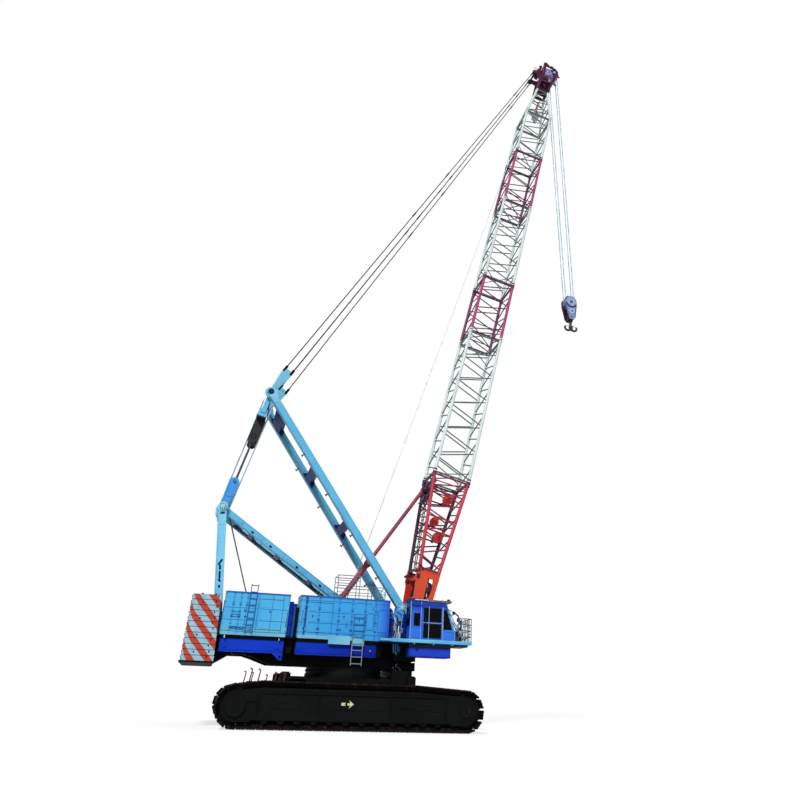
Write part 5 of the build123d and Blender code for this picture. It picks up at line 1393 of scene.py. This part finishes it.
pads = [
    cushion("seat_cushion", (1.5, 1.79), (-1.235, -0.965), (1.885, 1.958), 0, 0.3),
    cushion("seat_back", (1.475, 1.54), (-1.215, -0.985), (1.965, 2.26), -0.12, 0.3),
    cushion("seat_headrest", (1.447, 1.497), (-1.17, -1.03), (2.265, 2.325), -0.12, 0.25),
]
shapes = [((1.51, 1.73), (-1.2, -1.0), (1.757, 1.78)),
          ((1.5, 1.78), (-1.225, -0.975), (1.866, 1.884))]
for i in range(5):
    odd, z = i % 2, 1.78 + 0.017 * i
    shapes.append((within(1.54, 1.7, 0.004 * odd), within(-1.18, -1.02, 0.006 * odd),
                   (z, z + 0.017)))
for y in (-1.238, -0.985):
    shapes.append(((1.55, 1.76), (y, y + 0.023), (2.04, 2.06)))
    shapes.append(((1.55, 1.575), (y, y + 0.023), (1.9, 2.05)))
# Control desk with its raised panel, pedals and four levers
shapes += [((1.91, 2.13), (-1.235, -0.965), (1.757, 1.93)),
           ((1.96, 2.1), (-1.22, -0.98), (1.93, 2.02))]
shapes += [((1.86, 1.9), about(y, 0.02), (1.765, 1.79)) for y in (-1.18, -1.1, -1.02)]
seat_frame = solids("seat_frame_and_desk", shapes, seat_base, "upperworks", "seat_black", 0.004)
levers = [[(1.93, y, 1.93), (1.91, y, 2.04)] for y in (-1.2, -1.15, -1.05, -1.0)]
bars("control_levers", levers, 0.006, black_rubber, "upperworks", "seat_black")
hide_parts("cab_seat")

# ------------ walkway
# Chequered plate on a folded edge runs past the cab; the guard rail at its end is of bent
# tube. Below it hangs the fuel tank, sprayed deep blue, with a black band of painted shadow at its
# top under the walkway.

# Near-black band under the walkway's edge: painted shadow; the tread plate above is grey
platform_blue = surface(
    "walkway_enamel_with_painted_shadow", "#3F98D8 #57AEDA #1A3A60", 0.45,
    zones=(
        ((0, 0, -1), -1.69, -1.684, "#10161E"), ((0, 0, -1), -1.625, -1.56, "#0A38B8"),
        ((0, 0, 1), 1.735, 1.745, "#3E5056"),
    ),
)
dress(platform_blue, "cab_platform")
tread = surface("worn_tread_plate", "#3C5A70 #51707F #22282C", 0.5, 0.3)
STUD_PITCH, STUD_TURN = 0.064, math.radians(45)
places = []
for i in range(29):
    for j in range(2 if i < 24 else 9):
        x, y = 0.8 + STUD_PITCH * i, -1.46 + STUD_PITCH * j
        if x < 2.62 and (x >= 2.32 or y < -1.39):
            turn = (0, 0, STUD_TURN if (i + j) % 2 else -STUD_TURN)
            places.append(((x, y, 1.7315), turn, (0.034, 0.009, 0.004)))
repeat("tread_studs", unit_block, places, tread, "upperworks", "rail_blue")
boards = [
    ((0.76, 2.645), (-1.4895, -1.482), (1.73, 1.755)),
    ((2.64, 2.648), (-1.4895, -0.87), (1.73, 1.765)),
    ((0.52, 0.76), (-1.4895, -1.27), (1.7, 1.745)),
]
boards += [(about(x, 0.01), (-1.48, -1.34), (1.66, 1.688)) for x in (1.3, 1.75, 2.2)]
solids("toe_boards", boards, trim_blue, "upperworks", "rail_blue", 0.002)

# More rails, bent bars and stowed gear at the walkway's end
rail_dark = surface("oily_grey_rail_enamel", "#46606A #5A747C #1E2426", 0.5)
lines = [[(2.33, -1.475, z), (2.635, -1.475, z), (2.635, -0.885, z)] for z in (1.855, 2.105)]
for x, y in ((2.405, -1.475), (2.56, -1.475), (2.635, -1.33), (2.635, -1.04)):
    lines.append([(x, y, 1.73), (x, y, 2.23)])
for y, bend in (
    (-1.475, ((2.48, 1.74), (2.53, 1.85), (2.62, 1.92))),
    (-1.475, ((2.48, 2.22), (2.53, 2.1), (2.62, 2.04))),
    (-1.475, ((2.33, 2.22), (2.4, 2.0), (2.48, 1.74))),
    (-1.3, ((2.34, 1.74), (2.36, 2.12), (2.45, 2.2), (2.54, 2.12), (2.56, 1.74))),
    (-1.1, ((2.35, 1.74), (2.37, 2.05), (2.5, 2.05), (2.52, 1.74))),
):
    lines.append([(x, y, z) for x, z in bend])
bars("walkway_rail_bars", lines, 0.0095, rail_dark, "upperworks", "rail_blue")
gear = lumps(
    (2.37, -1.36, 1.83, 0.03, 0.035, 0.09), (2.42, -1.25, 1.8, 0.04, 0.05, 0.06),
    (2.36, -1.12, 1.86, 0.03, 0.08, 0.12), (2.4, -1.42, 2.14, 0.035, 0.025, 0.03),
    (2.34, -1.4, 2.2, 0.03, 0.025, 0.04),
)
solids("stowed_gear", gear, black_parts_and_pane_shade, "upperworks", "machine_grey", 0.01)
edges = [(about(x, 0.008), (-1.334, -1.33), (1.43, 1.61)) for x in (1.24, 2.17)]
edges += [((1.216, 2.19), (-1.336, -1.33), z) for z in ((1.415, 1.43), (1.6, 1.615))]
edges.append(((1.4, 1.56), 0.03, (-1.345, -1.33), 16))
solids("tank_edges", edges, beam_blue, "upperworks", "deck_blue", 0.002)

# ------------ boom
# Sections of welded steel tube, pinned end to end and sprayed in turn: orange-red plates at
# the foot, a crimson base, then white and crimson sections up to the maroon head.

boom_foot_pin, BOOM_ANGLE = (1.566, 2.097), 77.58
boom_line = line_frame(*boom_foot_pin, BOOM_ANGLE)
HALF_DEPTH, HALF_WIDTH, FOOT_DEPTH, CHORD = 0.492, 0.518, 0.256, 0.044
FOOT_TOP, BASE_TOP, TOP_START, TOP_END = 1.28, 3.74, 18.66, 20.48
CORNERS = [(a, b) for a in (-1, 1) for b in (-1, 1)]


def boom_path(*points):
    """A line through points of the boom, each given as (across, y, station)."""
    return [on_line(boom_line, y, (across, station))[0] for across, y, station in points]


# The far foot plate is drawn a deeper red: painted shade
boom_orange = surface(
    "orange_red_enamel_with_painted_shade", "#CC4A2C #BC3E28 #5A1E18", 0.42,
    zones=(((0, 1, 0), 0.3, 0.4, "#B02418"),),
)
# All but the right-hand faces of the crimson parts are drawn darker, as painted shade
boom_crimson, boom_plum, chord_plum, chord_crimson = (
    surface(name, colours, 0.42, zones=(((0, 1, 0), start, -0.3, shaded_colour),))
    for name, colours, start, shaded_colour in (
        ("crimson_enamel", "#8A1E44 #761C40 #2E0E1C", -0.42, "#32102E"),
        ("plum_red_enamel", "#5C1440 #4E1440 #1E0C20", -0.4, "#3C1038"),
        ("rose_plum_enamel", "#9E2C62 #8C2A5C #3C1430", -0.4, "#6A1E54"),
        ("bright_crimson_enamel", "#B43246 #A02C42 #3E1420", -0.42, "#3A1030"),
    )
)
stop_rose = surface("dusty_rose_enamel", "#8E3848 #7C3044 #3A1822", 0.5)
# Lacing of the white sections: white paint drawn grey-green as painted shade
lacing_white_in_painted_shade = surface("white_enamel_drawn_grey_green_in_painted_shade", "#5E6E6C #4C5C5A #2C3432", 0.55)
chord_white = surface("chalky_white_enamel", "#C6D4D2 #B4C4C4 #6E7C7A", 0.5)
sheave_orange = surface("orange_sheave_enamel", "#CC3E2A #B23424 #4A1C18", 0.45)
dress(boom_orange, "boom_foot")
dress(boom_crimson, "boom_base")
dress(stop_rose, "backstop")
dress(lacing_white_in_painted_shade, "boom_insert_1", "boom_insert_3", "boom_insert_5", "boom_top")
dress(boom_plum, "boom_insert_2", "boom_insert_4")
dress(sheave_orange, "guide_sheaves")

# The chords and end frames are drawn lighter than the lacing, whose darker paint is painted shade
even = (HALF_DEPTH, HALF_WIDTH)
for name, spans, paint, slot in (
    ("white_chords", (
        (3.742, even, 8.318, even), (10.462, even, 13.878, even), (16.402, even, 18.658, even),
        (TOP_START + 0.002, even, TOP_END - 0.002, (0.23, 0.215)),
    ), chord_white, "boom_white"),
    ("plum_chords", ((8.322, even, 10.458, even), (13.882, even, 16.398, even)), chord_plum,
     "boom_crimson"),
    ("base_chords", ((FOOT_TOP + 0.01, (FOOT_DEPTH, HALF_WIDTH), BASE_TOP - 0.002, even),),
     chord_crimson, "boom_crimson"),
):
    lines = [
        boom_path((a * start[0], b * start[1], low), (a * end[0], b * end[1], high))
        for low, start, high, end in spans for a, b in CORNERS
    ]
    bars(name, lines, CHORD + 0.0025, paint, "boom", slot, 12)

# Joint ears: forged lugs and pins where one section meets the next, at each chord
bm = bmesh.new()
upright(bm, (0, 0), 14, (0.052, 0.052, -0.11, -0.07), (0.056, 0.056, -0.03, 0.03),
        (0.052, 0.052, 0.07, 0.11))
disc(bm, (0, 0), 0.02, (-0.068, 0.068), 10)
ear = closed(bm)
up_boom = (0, math.radians(90 - BOOM_ANGLE), 0)
for name, material, stations, slot in (
    ("white_joint_ears", chord_white, (8.32, 13.88, 18.66), "boom_white"),
    ("red_joint_ears", boom_plum, (BASE_TOP, 10.46, 16.4), "boom_crimson"),
):
    ends = boom_path(*((a * HALF_DEPTH, b * HALF_WIDTH, s) for s in stations for a, b in CORNERS))
    repeat(name, ear, [spot(end, up_boom) for end in ends], material, "boom", slot)

# Cross frames inside the sections: a diagonal pair and doubled rails across the faces
for name, material, stations, radius, slot in (
    ("plum_cross_frames", boom_plum, (8.55, 14.12), 0.016, "boom_crimson"),
    ("crimson_cross_frames", boom_crimson, (3.45,), 0.016, "boom_crimson"),
    ("grey_cross_frames", lacing_white_in_painted_shade, (3.95, 7.9, 10.75, 13.5, 16.7), 0.014, "boom_white"),
):
    lines = []
    for s in stations:
        spans = [(-1, 0.0, 1, 0.04), (1, 0.02, -1, 0.06)]
        if material != lacing_white_in_painted_shade:
            spans += [(b, 0.1) * 2 for b in SIDES]
        for b0, rise0, b1, rise1 in spans:
            start = (-HALF_DEPTH, b0 * HALF_WIDTH, s + rise0)
            lines.append(boom_path(start, (HALF_DEPTH, b1 * HALF_WIDTH, s + rise1)))
    bars(name, lines, radius, material, "boom", slot)

# Base section: a climbing ladder up its rear face, and the dark plates that hold the
# backstop's head
base_dark = surface("shaded_crimson_enamel", "#3A1430 #2C1028 #140A12", 0.5)


def base_depth(station):
    """Half depth of the base section at a station."""
    share = (station - FOOT_TOP) / (BASE_TOP - FOOT_TOP)
    return FOOT_DEPTH + share * (HALF_DEPTH - FOOT_DEPTH)


lines = [
    boom_path(*((-base_depth(s) - 0.005, y, s) for s in (1.3, 2.5, 3.45))) for y in (0.06, -0.12)
]
rungs = [(1.45 + 0.28 * i, -0.12, 0.06, 0) for i in range(8)]
rungs += [(s, -0.518, 0.518, 0.02) for s in (1.75, 2.25, 2.75, 3.2)]
for s, y0, y1, rise in rungs:
    lines.append(boom_path((-base_depth(s), y0, s), (-base_depth(s), y1, s + rise)))
bars("base_ladder", lines, 0.013, base_dark, "boom", "boom_crimson")
plates = paired((strip(boom_line, (-0.47, -0.42), (3.05, 3.66)),), 0.12, 0.5)
ledges = [strip(boom_line, (-0.5, -0.38), (s, s + 0.03)) for s in (3.1, 3.3, 3.5)]
plates += paired(ledges, 0.13, 0.54)
side_plates("backstop_head_plates", plates, base_dark, "boom", "boom_crimson")

# Guide sheave cheeks and the deep rims of the sheaves
rims = []
for across, s, radius in ((0.16, 3.29, 0.12), (-0.06, 2.62, 0.105), (0.13, 2.26, 0.125)):
    hub = boom_line(across, s)
    rims += [(hub, radius + 0.012, about(y, 0.006), 28) for y in (-0.06, 0.06)]
    rims.append((hub, 0.05, (-0.1, 0.1), 14))
solids("guide_sheave_rims", rims, sheave_orange, "boom", "boom_orange", 0.003)

# Foot plates: edges, bosses, and the winch and hoses that show in the window
edges = [
    strip(boom_line, across, span) for across, span in (
        ((-0.29, -0.27), (1.0, FOOT_TOP)), ((0.26, 0.28), (1.0, FOOT_TOP - 0.02)),
        ((-0.27, 0.27), (FOOT_TOP - 0.03, FOOT_TOP - 0.008)),
    )
]
plates = paired(edges, 0.548, 0.556)
plates += paired((strip(boom_line, (-0.31, -0.21), (1.05, 1.36)),), 0.5, 0.572)
side_plates("foot_plate_edges", plates, boom_orange, "boom", "boom_orange")
bosses = []
for across, s, radius, inner, outer, count in (
    (-0.26, 1.1, 0.045, 0.4405, 0.6, 20), (-0.27, 1.24, 0.035, 0.4405, 0.6, 20),
    (-0.26, 1.34, 0.04, 0.4405, 0.6, 20), (-0.2, 1.3, 0.03, 0.4405, 0.6, 20),
    (0.0, 0.0, 0.1, 0.4405, 0.5595, 20), (-0.33, 1.2, 0.03, 0.46, 0.6, 14),
):
    bosses += caps(boom_line(across, s), (radius, inner, outer, count))
solids("foot_bosses", bosses, base_dark, "boom", "boom_crimson", 0.004)
hub = boom_line(0.07, 0.86)
winch = [(hub, 0.14, (-0.4, 0.4), 28), *caps(hub, (0.06, 0.43, 0.5, 16))]
winch += [(hub, 0.19, about(y, 0.012), 32) for y in (-0.42, -0.1, 0.1, 0.42)]
solids("jib_winch", winch, base_dark, "boom", "drum_steel", 0.004)
hoses = [
    boom_path((0.02 + 0.035 * i, 0.44, 0.62), (0.1 + 0.02 * i, 0.45, 0.85),
              (0.05 + 0.03 * i, 0.4, 1.12), (-0.1 + 0.02 * i, 0.38, 1.5))
    for i in range(3)
]
hoses.append(boom_path((0.1, -0.44, 0.7), (0.06, -0.46, 0.95), (-0.05, -0.42, 1.2)))
bars("boom_hoses", hoses, 0.014, pipe_white, "boom", "machine_grey")

# Guide frame inside the top section: a pale plate on two rose legs, and its crossbars
rose = surface("pink_rose_enamel", "#A8607A #98546E #5A3040", 0.5)
lines = [boom_path((0.0, -0.1, 19.95), (0.0, 0.1, 19.95)),
         boom_path((-0.3, 0.0, 19.25), (0.3, 0.0, 19.25))]
for side in SIDES:
    knee = (-0.06, side * 0.2, 19.2)
    lines.append(boom_path((0.0, side * 0.1, 19.95), knee))
    lines.append(boom_path(knee, (0.12, side * 0.22, 19.02)))
bars("top_guide_frame", lines, 0.028, rose, "boom", "boom_crimson", 10)
plate = strip(boom_line, (-0.1, 0.14), (19.04, 19.32))
side_plates("top_guide_plate", [(plate, (-0.16, 0.16))], pale_steel, "boom", "boom_white", 0.01)

# ------------ boom head
# Thick maroon side plates carry six cast sheaves on one shaft, with rollers and bars that
# keep the ropes in their grooves and lugs for hanging gear on both edges.

head_maroon = surface("maroon_enamel", "#3C0A2C #300A26 #160812", 0.45, shine=0.12)
# Lighter maroon for the plate edges is a painted highlight
head_edge_highlight = surface("maroon_enamel_with_painted_edge_highlight", "#8A3A6A #6E2854 #2A1026", 0.45)
sheave_lilac = surface("lilac_grey_sheave_enamel", "#B9B2DC #9C96C2 #4A4468", 0.5)
navy_steel = surface("navy_bar_enamel", "#17123C #201A48 #0A0814", 0.5)
dress(sheave_lilac, "head_sheaves")
SHAFT_ACROSS, SHAFT_UP, KEEPER_RADIUS = 0.296, 1.4, 0.262


def head_line(across, up):
    """X and z of a point of the head, from the top of the top section."""
    return boom_line(across, TOP_END + up)


def head_shapes(*outlines):
    """Outlines of plates given in the head's own measures."""
    return [[head_line(*point) for point in outline] for outline in outlines]


def sheave_rims(hub, radius, middles, edge, half, sides):
    """The two rims of each sheave on a shaft, as thin discs."""
    return [(hub, radius, about(y + out, half), sides) for y in middles for out in (-edge, edge)]


centre, rear_centre = head_line(SHAFT_ACROSS, SHAFT_UP), head_line(0.01, 1.36)
rear_middles = (-0.17, -0.113, -0.057, 0.0, 0.057, 0.113, 0.17)
rims = sheave_rims(centre, 0.243, (-0.14, -0.084, -0.028, 0.028, 0.084, 0.14), 0.017, 0.002, 40)
rims += caps(centre, (0.085, 0.24, 0.25, 28))
rims += [(rear_centre, 0.17, about(y, 0.02), 36) for y in rear_middles]
rims += sheave_rims(rear_centre, 0.19, rear_middles, 0.018, 0.004, 36)
solids("sheave_rims", rims, sheave_lilac, "boom", "sheave_grey")
# Radial webs cast on the faces of the two outer sheaves
web_purple = surface("shaded_sheave_enamel", "#6E5E9A #5A4C86 #2A2048", 0.5)
webs = [
    [(x, y, z) for x, z in ends]
    for y in (-0.194, 0.194)
    for ends in zip(circle(rear_centre, 0.05, 18), circle(rear_centre, 0.182, 18))
]
bars("sheave_webs", webs, 0.009, web_purple, "boom", "sheave_grey", 6)
places = ring(centre, 0.25, 0.065, 8, 0.8) + ring(head_line(-0.52, 0.87), 0.24, 0.06, 6, 0.7)
repeat("head_bolts", bolt_head(), places, navy_steel, "boom", "machine_grey")

# Lighter maroon strips along the plate edges: painted highlight
edges = head_shapes(
    ((-0.274, 0.0), (-0.25, 0.0), (-0.25, 0.7), (-0.274, 0.7)),
    ((0.255, 0.0), (0.274, 0.0), (0.3, 0.42), (0.47, 1.22), (0.45, 1.24), (0.28, 0.44)),
    ((-0.2, 1.12), (-0.18, 1.12), (-0.205, 1.75), (-0.225, 1.75)),
    ((-0.16, 0.6), (0.24, 0.655), (0.24, 0.675), (-0.16, 0.62)),
)
side_plates("head_plate_edges", paired(edges, 0.24, 0.252), head_edge_highlight, "boom",
            "head_maroon", 0.002)
# Each side is a frame cut from thick plate: a rear leg with the wing of the pendant pin, a
# front leg round the shaft, and ties between them; tubes join the two sides
outlines = head_shapes(
    ((-0.274, 0.0), (-0.17, 0.0), (-0.15, 0.7), (-0.09, 1.12), (-0.1, 1.68), (-0.12, 1.82),
     (-0.23, 1.77), (-0.2, 1.12), (-0.26, 0.99), (-0.56, 0.96), (-0.62, 0.87), (-0.56, 0.78),
     (-0.26, 0.7)),
    ((0.19, 0.0), (0.274, 0.0), (0.3, 0.42), (0.47, 1.22), (0.47, 1.52), (0.33, 1.66),
     (0.22, 1.665), (0.3, 1.5), (0.24, 1.47), (0.215, 1.4), (0.24, 1.33), (0.31, 1.28),
     (0.22, 0.42)),
    ((-0.11, 1.6), (0.29, 1.58), (0.33, 1.66), (0.06, 1.68), (-0.12, 1.82)),
    ((-0.18, 0.0), (0.2, 0.0), (0.2, 0.1), (-0.18, 0.1)),
    ((-0.16, 0.6), (0.25, 0.66), (0.26, 0.74), (-0.155, 0.7)),
)
bm = bmesh.new()
slabs(bm, paired(outlines, 0.2, 0.24))
for across, up, radius in ((-0.2, 0.09, 0.04), (0.2, 0.09, 0.04), (-0.16, 1.22, 0.04),
                           (-0.15, 1.72, 0.04), (0.02, 0.92, 0.115), (0.02, 0.45, 0.07),
                           (0.23, 0.7, 0.035)):
    disc(bm, head_line(across, up), radius, (-0.2, 0.2), 24)
head_frame = fit("boom_head_frame", closed(bm), head_maroon, "boom", "head_maroon", 0.004)
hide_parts("boom_head")
plates = [(strip(head_line, (-0.2, 0.2), (0.2, 0.23)), (-0.198, 0.198)),
          (strip(head_line, (-0.24, -0.1), (0.3, 0.9)), (-0.05, 0.05)),
          (strip(head_line, (-0.18, 0.22), (0.68, 0.7)), (-0.198, 0.198))]
for outline, inner, outer in (
    (((-0.28, 1.02), (-0.42, 1.08), (-0.44, 1.2), (-0.36, 1.3), (-0.22, 1.26)), 0.15, 0.19),
    (((-0.24, 1.5), (-0.34, 1.56), (-0.36, 1.64), (-0.28, 1.7), (-0.22, 1.66)), 0.05, 0.09),
    (((0.05, 1.62), (0.1, 1.74), (0.2, 1.74), (0.24, 1.6)), 0.2, 0.238),
):
    plates += paired(head_shapes(outline), inner, outer)
side_plates("head_lugs", plates, head_maroon, "boom", "head_maroon", 0.004)
lines = [on_line(head_line, -0.21, *ends)
         for ends in (((0.43, 1.31), (0.57, 1.236)), ((0.33, 0.76), (0.5, 0.66)))]
bars("head_front_bars", lines, 0.034, navy_steel, "boom", "machine_grey", 12)
keepers = [
    [(SHAFT_ACROSS + KEEPER_RADIUS * math.cos(a), y, SHAFT_UP + KEEPER_RADIUS * math.sin(a))
     for y in (-0.2, 0.2)]
    for a in (math.radians(degrees) for degrees in (76, 103, 130))
]
keepers += [((-0.4, -0.19, up), (-0.4, 0.19, up)) for up in (1.12, 1.22)]
keepers += [
    ((-0.36, -0.1, 1.2), (-0.5, -0.12, 1.36), (-0.56, -0.12, 1.3)),
    ((-0.3, 0.1, 1.4), (-0.46, 0.12, 1.5)), ((-0.25, 0.0, 1.58), (-0.35, 0.0, 1.72)),
]
lines = [boom_path(*((a, y, TOP_END + up) for a, y, up in keeper)) for keeper in keepers]
bars("head_rope_keepers", lines, 0.013, navy_steel, "boom", "machine_grey")

# ------------ mast
# Two welded box beams sprayed light blue and joined by dark webs, with climbing pegs of round
# bar welded along their rear edges.

# Mast paint: paler towards the head, and darker on the far (left) beam as painted shade
mast_blue = surface(
    "light_blue_mast_enamel_far_beam_shaded", "#58AACE #4C9CC6 #1E4A78", 0.42,
    zones=(((0, 0, 1), 7.0, 7.3, "#78B4C4"), ((0, 1, 0), 0.3, 0.5, "#4A96B8")),
)
web_blue = surface("dark_web_enamel", "#0A286E #08205A #060E24", 0.5, shine=0.1)
dress(mast_blue, "right_mast_beam", "left_mast_beam")
dress(web_blue, "mast_crossbeams")
strips = edged(mast_line, (0.602, 0.782), 0.006, (0.067, 0.083), (0.24, MAST_LENGTH - 0.25),
               (0.3, 5.9), 0.014, 0.067)
side_plates("mast_edge_strips", strips, mast_blue, "mast", "mast_blue", 0.002)
gussets, pegs = [], []
for down, half in ((3.88, 0.1), (2.3, 0.11), (0.6, 0.17)):
    s = MAST_LENGTH - down
    gusset = [mast_line(across, s + up) for across, up in (
        (-0.07, -half - 0.12), (0.07, -half - 0.05), (0.07, half + 0.05), (-0.07, half + 0.12)
    )]
    gussets += paired((gusset,), 0.5, 0.6)
    gussets += paired((strip(mast_line, (-0.072, -0.066), about(s, half)),), 0.0, 0.6)
for y in (-0.69, 0.69):
    for s in (4.385 - 1.166 * i for i in range(4)):
        pegs.append(on_line(mast_line, y, (-0.085, s), (-0.155, s)))
        pegs.append(on_line(mast_line, y, (-0.15, s - 0.03), (-0.15, s + 0.03)))
side_plates("mast_gussets", gussets, web_blue, "mast", "chassis_blue")
bars("mast_pegs", pegs, 0.014, dark_steel_and_hole_shade, "mast", "machine_grey")
solids("mast_tip_caps", caps(mast_tip, (0.075, 0.782, 0.8, 24)), web_blue, "mast", "mast_blue",
       0.004)
repeat("mast_tip_bolts", bolt_head(), ring(mast_tip, 0.8, 0.055, 6, 0.5), dark_steel_and_hole_shade, "mast",
       "machine_grey")
pipes = [on_line(mast_line, -0.592, (a, 0.4), (a, MAST_LENGTH - 0.5)) for a in (-0.03, 0.0)]
bars("mast_pipes", pipes, 0.008, dark_steel_and_hole_shade, "mast", "machine_grey", 6)

# ------------ pendant stays
# Links and yokes of blue plate at the mast head spread each side to two steel bridle ropes;
# black sockets join their lengths and end them at the boom head.

stay_end = (5.65, 23.059)
stay_line, stay_length, _ = line_between(mast_tip, stay_end)
stay_steel = surface(
    "pale_blue_yokes_and_dark_rope", "#66AAC8 #569ABC #1E3A58", 0.5,
    zones=(zone_along(mast_tip, stay_end, 0.785, 0.79, "#14161A"),),
)
dress(stay_steel, "pendant_stays")
ROPE_START, ROPE_END = 0.72, stay_length - 0.03


def stay_sockets(name, radius, sides, *spans):
    """Sockets on the four stay ropes, which draw together towards the boom head."""
    lines = []
    for side, gap in CORNERS:
        for span in spans:
            line = []
            for s in span:
                share = (s - ROPE_START) / (ROPE_END - ROPE_START)
                across, y = gap * 0.108 * (1 - 0.55 * share), side * (0.69 - 0.4 * share)
                line += on_line(stay_line, y, (across, s))
            lines.append(line)
    bars(name, lines, radius, dark_steel_and_hole_shade, "stays", "machine_grey", sides)


stay_sockets("stay_end_sockets", 0.036, 12, (0.68, 0.86))
joints = [(share * stay_length, share * stay_length + 0.22) for share in (0.43, 0.56, 0.885)]
stay_sockets("stay_joint_sockets", 0.024, 10, *joints, (stay_length - 0.35, stay_length - 0.08))
edges = edged(stay_line, (0.673, 0.707), 0.006, (0.036, 0.05), (0.12, 0.6), (0.69,), 0.03, 0.12)
side_plates("stay_link_edges", edges, mast_blue, "stays", "mast_blue", 0.002)

# ------------ hoist rope, block and hook
# Galvanised rope runs from the deck up the boom and hangs in eight falls. The block has dark
# plum cheeks over lilac-painted sheave covers, and a forged double hook on a swivel.

block_plum = surface(
    "dark_plum_block_enamel", "#300E26 #3C142E #140810", 0.5,
    zones=[((0, side, 0), 0.1495, 0.1515, "#6C86AC") for side in SIDES],
)
cover_lilac = surface("lilac_blue_cover_enamel", "#8FA8CE #A69CC8 #4A4468", 0.5, 0, 5)
hub_red = surface("red_brown_hub_enamel", "#6E3A3E #5A2C34 #2A1418", 0.5)
hook_grey = surface("worn_forged_hook_steel", "#2A2C28 #4A4C3C #161410", 0.5, 0.4, 6)
falls_rope = surface("weathered_fall_rope", "#84A2B4 #C0DAE4 #40505A", 0.5, 0.3, 7, 0.5, 9)
dress(block_plum, "hook_block")
dress(hook_grey, "hook")
FALL_X, SHAFT_Z, HEAD_Z, LATCH_Z = 6.561, 12.25, 23.401, 11.43
lines = [
    [(FALL_X + side * 0.15, y, SHAFT_Z), (FALL_X + side * 0.18, y, HEAD_Z)]
    for y in (-0.1, -0.07, 0.07, 0.1) for side in SIDES
]
falls = taut("rope_falls", lines, 0.009, falls_rope, "fall_ropes", "hook_block_body",
             (FALL_X, 0, HEAD_Z), (FALL_X, 0, SHAFT_Z))
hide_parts("hoist_falls")
rope_end, blend_end = on_line(head_line, 0.05, (-0.16, 1.262), (-0.16, 1.1))
taut("hoist_line", [[(-0.23, 0.05, 2.12), rope_end]], 0.011, light_rope, "upperworks", "boom",
     (-0.23, 0.05, 2.3), blend_end)


def block_point(x, z):
    """X and z of a point of the block, from its shaft."""
    return (FALL_X + x, SHAFT_Z + z)


cover, lower_cover = block_point(0.02, 0.03), block_point(0.02, -0.32)
covers = caps(cover, (0.165, 0.152, 0.162, 32)) + caps(lower_cover, (0.1, 0.152, 0.16, 24))
covers += sheave_rims(block_point(0, 0), 0.203, (-0.084, -0.028, 0.028, 0.084), 0.017, 0.002, 40)
solids("block_covers", covers, cover_lilac, "hook_block_body", "sheave_grey", 0.002)
hubs = caps(cover, (0.06, 0.162, 0.17, 24)) + caps(lower_cover, (0.035, 0.16, 0.168, 16))
solids("block_hubs", hubs, hub_red, "hook_block_body", "hook_steel", 0.003)
places = ring(cover, 0.162, 0.13, 10, 0.6) + ring(block_point(0, -0.55), 0.152, 0.03, 4, 0.5)
repeat("block_bolts", bolt_head(), places, navy_steel, "hook_block_body", "machine_grey")
arc_turns = [math.radians(192 + 13 * i) for i in range(12)]
outer_arc, inner_arc = (
    [block_point(x + radius * math.cos(a), z + radius * math.sin(a)) for a in arc_turns]
    for x, z, radius in ((0.01, 0.02, 0.208), (0.02, 0.03, 0.165))
)
ribs = [
    [block_point(*point) for point in shape] for shape in (
        ((-0.2, -0.09), (-0.18, -0.09), (-0.1, -0.56), (-0.125, -0.56)),
        ((0.18, -0.09), (0.2, -0.09), (0.125, -0.56), (0.1, -0.56)),
        ((-0.205, 0.1), (-0.12, 0.24), (-0.1, 0.225), (-0.19, 0.09)),
    )
]
bands = paired((outer_arc + inner_arc[::-1],), 0.152, 0.166) + paired(ribs, 0.152, 0.159)
side_plates("block_bands", bands, navy_steel, "hook_block_body", "hook_steel", 0.002)
guards = [
    [(FALL_X + x, y, SHAFT_Z + z) for y in (-0.15, 0.15)] for x, z in (
        (-0.172, -0.22), (0.172, -0.22), (-0.09, 0.235), (0.09, 0.235), (-0.12, -0.5),
        (0.12, -0.5), (0.0, -0.6),
    )
]
bars("block_guard_bars", guards, 0.012, block_plum, "hook_block_body", "hook_steel")

# Hook: safety latches, and collars forged round its shank under the swivel
latches = []
for side in SIDES:
    x = FALL_X + side * 0.045
    latches.append([(x, y, LATCH_Z) for y in (-0.03, 0.03)])
    latches.append([(x, 0, LATCH_Z), (FALL_X + side * 0.19, 0, LATCH_Z - 0.03)])
bars("hook_latches", latches, 0.01, pipe_grey, "hook_body", "hook_steel")
bm = bmesh.new()
upright(bm, (FALL_X, 0), 24, (0.085, 0.085, 11.585, 11.6), (0.07, 0.07, 11.56, 11.585),
        (0.052, 0.052, 11.5, 11.56))
fit("hook_swivel_collars", closed(bm), hook_grey, "hook_body", "hook_steel", 0.002)

low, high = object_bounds()
